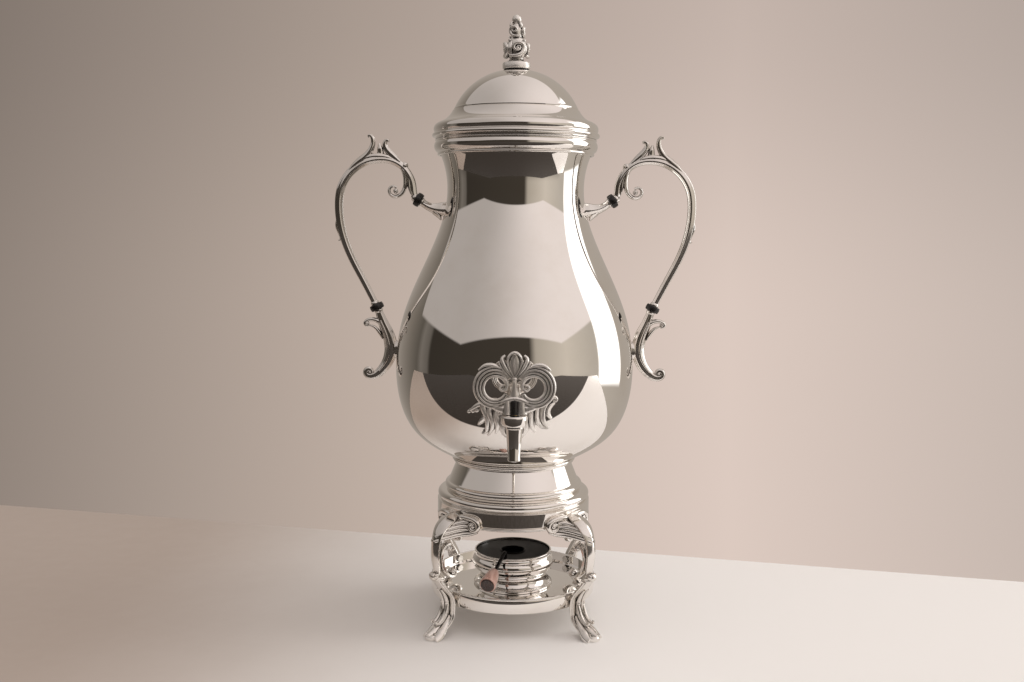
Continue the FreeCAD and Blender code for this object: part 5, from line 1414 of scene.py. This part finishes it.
@dataclass
class Studio:
    """Table, surroundings, lamps and camera."""

    eye: Triple = (-0.0017, -0.7296, 0.2733)
    pitch: float = 6.28
    roll: float = 0.41
    focal: float = 1060.0
    frame_width: float = 1024.0
    back_left: Flat = (-1.60, 0.523)
    back_right: Flat = (1.60, -0.205)
    front: float = -1.7
    table_thickness: float = 0.03
    sensor: float = 36.0
    rear_normal: Flat = (0.2217, 0.9751)
    around: tuple[tuple[float, Colour], ...] = (
        (0.000, (0.42, 0.37, 0.325)), (0.150, (0.19, 0.165, 0.14)), (0.205, (0.10, 0.087, 0.072)),
        (0.222, (0.17, 0.15, 0.13)), (0.248, (0.12, 0.105, 0.09)), (0.256, (0.035, 0.029, 0.023)),
        (0.540, (0.050, 0.041, 0.032)), (0.556, (0.42, 0.37, 0.31)), (0.640, (0.62, 0.55, 0.47)),
        (0.725, (0.50, 0.45, 0.39)), (0.850, (0.42, 0.37, 0.32)), (1.000, (0.42, 0.37, 0.325)),
    )
    # Backdrop tones from left to right, with painted light: darker at the left.
    behind: tuple[tuple[float, Colour], ...] = (
        (0.05, (0.265, 0.218, 0.187)), (0.36, (0.485, 0.397, 0.342)), (0.70, (0.690, 0.569, 0.507)),
        (0.95, (0.545, 0.460, 0.412)),
    )
    ground: Colour = (0.05, 0.042, 0.035)
    bounce_left: Colour = (0.41, 0.37, 0.345)
    bounce_right: Colour = (0.85, 0.76, 0.72)
    strip_light: Colour = (1.9, 1.85, 1.8)
    strip_shares: Edges = (0.738, 0.746, 0.834, 0.842)
    strip_heights: Edges = (-0.22, -0.16, 0.58, 0.66)
    lamp_light: Colour = (1.0, 0.96, 0.93)
    # Name, place, size, power and aim of each lamp
    softboxes: tuple[tuple[str, Triple, Flat, float, Triple], ...] = (
        ("overhead_softbox", (0.15, -0.35, 1.5), (1.6, 1.6), 7.0, (0.0, 0.0, 0.1)),
        ("tall_softbox", (1.5, -0.1, 0.7), (0.5, 1.4), 6.0, (0.0, 0.0, 0.2)),
    )
    # Slopes up to the overhead bounce: front, left, right and rear
    brims: Edges = (-0.38, -0.28, 0.36, 1.5)

    def build(self) -> None:
        """Make the whole stage."""
        self.table()
        self.surroundings()
        self.lamps()
        self.camera()

    def table(self) -> None:
        """Make the pale table top, cut off at an angle behind the object."""
        bm = bmesh.new()
        bmesh.ops.create_grid(bm, x_segments=4, y_segments=4, size=1.0)
        reach = max(vert.co.x for vert in bm.verts)
        for vert in bm.verts:
            across, deep = (vert.co.x / reach + 1.0) / 2.0, (vert.co.y / reach + 1.0) / 2.0
            left, right = self.back_left, self.back_right
            x = left[0] + (right[0] - left[0]) * across
            back = left[1] + (right[1] - left[1]) * across
            vert.co = (x, self.front + (back - self.front) * deep, 0.0)
        made = bmesh.ops.extrude_face_region(bm, geom=bm.faces[:])
        low = [item for item in made["geom"] if isinstance(item, bmesh.types.BMVert)]
        bmesh.ops.translate(bm, verts=low, vec=(0.0, 0.0, -self.table_thickness))
        bmesh.ops.recalc_face_normals(bm, faces=bm.faces[:])
        mesh = bpy.data.meshes.new("table_top")
        bm.to_mesh(mesh)
        bm.free()
        top = bpy.data.objects.new("table_top", mesh)
        bpy.context.scene.collection.objects.link(top)
        mesh.materials.append(TABLE.material())
        log.info("table top made")

    def ramp(self, graph: Graph, value: bpy.types.NodeSocket, stops: Stops) -> bpy.types.NodeSocket:
        """Add a colour ramp.

        Args:
            graph: Node tree being filled.
            value: Value that picks the colour.
            stops: Places and colours of its stops.

        Returns:
            The picked colour.
        """
        made = graph.node("ShaderNodeValToRGB", {"Fac": value})
        elements = made.color_ramp.elements
        while len(elements) < len(stops):
            elements.new(0.5)
        for element, (place, _) in zip(elements, stops):
            element.position = place
        for element, (_, colour) in zip(elements, stops):
            element.color = (*colour, 1.0)
        return made.outputs["Color"]

    def within(self, graph: Graph, value: bpy.types.NodeSocket, edges: Edges) -> bpy.types.NodeSocket:
        """Share that is 1 inside a band with soft edges.

        Args:
            graph: Node tree being filled.
            value: Value to test.
            edges: Where the band starts, is full, fades and ends.

        Returns:
            The share.
        """
        start, full, fade, end = edges
        return graph.math("MULTIPLY", graph.spread(value, start, full), graph.spread(value, end, fade))

    def surroundings(self) -> None:
        """Light the object from soft panels all round, behind a warm backdrop with painted light, darker to
        the left and towards the top.
        """
        world = bpy.data.worlds.new("studio")
        bpy.context.scene.world = world
        world.use_nodes = True
        graph = Graph(world.node_tree)
        way = graph.node("ShaderNodeTexCoord").outputs["Generated"]
        x, y, z = graph.node("ShaderNodeSeparateXYZ", {"Vector": way}).outputs
        turn = graph.math("ARCTAN2", x, graph.math("MULTIPLY", y, -1.0))
        share = graph.math("ADD", graph.math("DIVIDE", turn, TURN), 0.5)
        panels = self.ramp(graph, share, self.around)
        rear = graph.math("ADD", graph.math("MULTIPLY", x, self.rear_normal[0]),
                          graph.math("MULTIPLY", y, self.rear_normal[1]))
        low = graph.math("MULTIPLY", graph.spread(z, -0.05, -0.40), graph.spread(rear, 0.05, -0.05))
        panels = graph.mix(low, panels, self.ground)
        edges = [graph.math("MULTIPLY", value, slope)
                 for value, slope in zip((y, x, x, rear), self.brims)]
        brim = graph.math("MAXIMUM", graph.math("MAXIMUM", edges[0], edges[1]),
                          graph.math("MAXIMUM", edges[2], edges[3]))
        above = graph.spread(graph.math("SUBTRACT", z, brim), -0.015, 0.015)
        bounce = graph.mix(graph.spread(x, -0.75, 0.75), self.bounce_left, self.bounce_right)
        panels = graph.mix(above, panels, bounce)
        strip = graph.math("MULTIPLY", self.within(graph, share, self.strip_shares),
                           self.within(graph, z, self.strip_heights))
        panels = graph.mix(strip, panels, self.strip_light)
        # Painted light on the backdrop: darker to the left, and darker towards the top through the multiply
        # below.
        across = graph.math("ADD", x, 0.5)
        backdrop = self.ramp(graph, across, self.behind)
        fall = graph.spread(z, 0.22, -0.10, 0.80, 1.04)
        backdrop = graph.node("ShaderNodeMix", {"Factor": 1.0, 6: backdrop, 7: fall}, data_type="RGBA",
                              blend_type="MULTIPLY").outputs[2]
        seen = graph.node("ShaderNodeLightPath").outputs["Is Camera Ray"]
        lit = graph.node("ShaderNodeBackground", {"Color": graph.mix(seen, panels, backdrop),
                                                  "Strength": 1.0})
        output = graph.node("ShaderNodeOutputWorld")
        world.node_tree.links.new(lit.outputs[0], output.inputs[0])

    def lamps(self) -> None:
        """Hang one large soft lamp overhead and a tall one at the right."""
        for name, place, size, power, aim in self.softboxes:
            data = bpy.data.lights.new(name, "AREA")
            data.shape = "RECTANGLE"
            data.size, data.size_y = size
            data.energy = power
            data.color = self.lamp_light
            lamp = bpy.data.objects.new(name, data)
            lamp.location = place
            toward = Vector(aim) - Vector(place)
            lamp.rotation_euler = toward.to_track_quat("-Z", "Y").to_euler()
            lamp.visible_glossy = False
            bpy.context.scene.collection.objects.link(lamp)

    def camera(self) -> None:
        """Stand the camera where the photograph was taken from."""
        data = bpy.data.cameras.new("camera")
        data.sensor_width = self.sensor
        data.lens = self.focal / self.frame_width * data.sensor_width
        data.clip_start = 0.01
        eye = bpy.data.objects.new("camera", data)
        down, lean = math.radians(self.pitch), math.radians(self.roll)
        tilt = Matrix.Rotation(math.pi / 2.0 - down, 4, "X")
        eye.matrix_world = Matrix.Translation(self.eye) @ tilt @ Matrix.Rotation(lean, 4, "Z")
        bpy.context.scene.collection.objects.link(eye)
        bpy.context.scene.camera = eye


def main() -> None:
    """Build every piece, the stage and the camera."""
    logging.basicConfig(level=logging.INFO, format="%(name)s: %(message)s")
    bpy.context.scene.view_settings.view_transform = "Standard"
    Studio().build()
    Stand().build()
    Vessel().build()
    for side in Side:
        Handle(side).build()
    Tap().build()
    Lid().build()
    Burner().build()
    dress_solids()


if __name__ == "__main__":
    main()
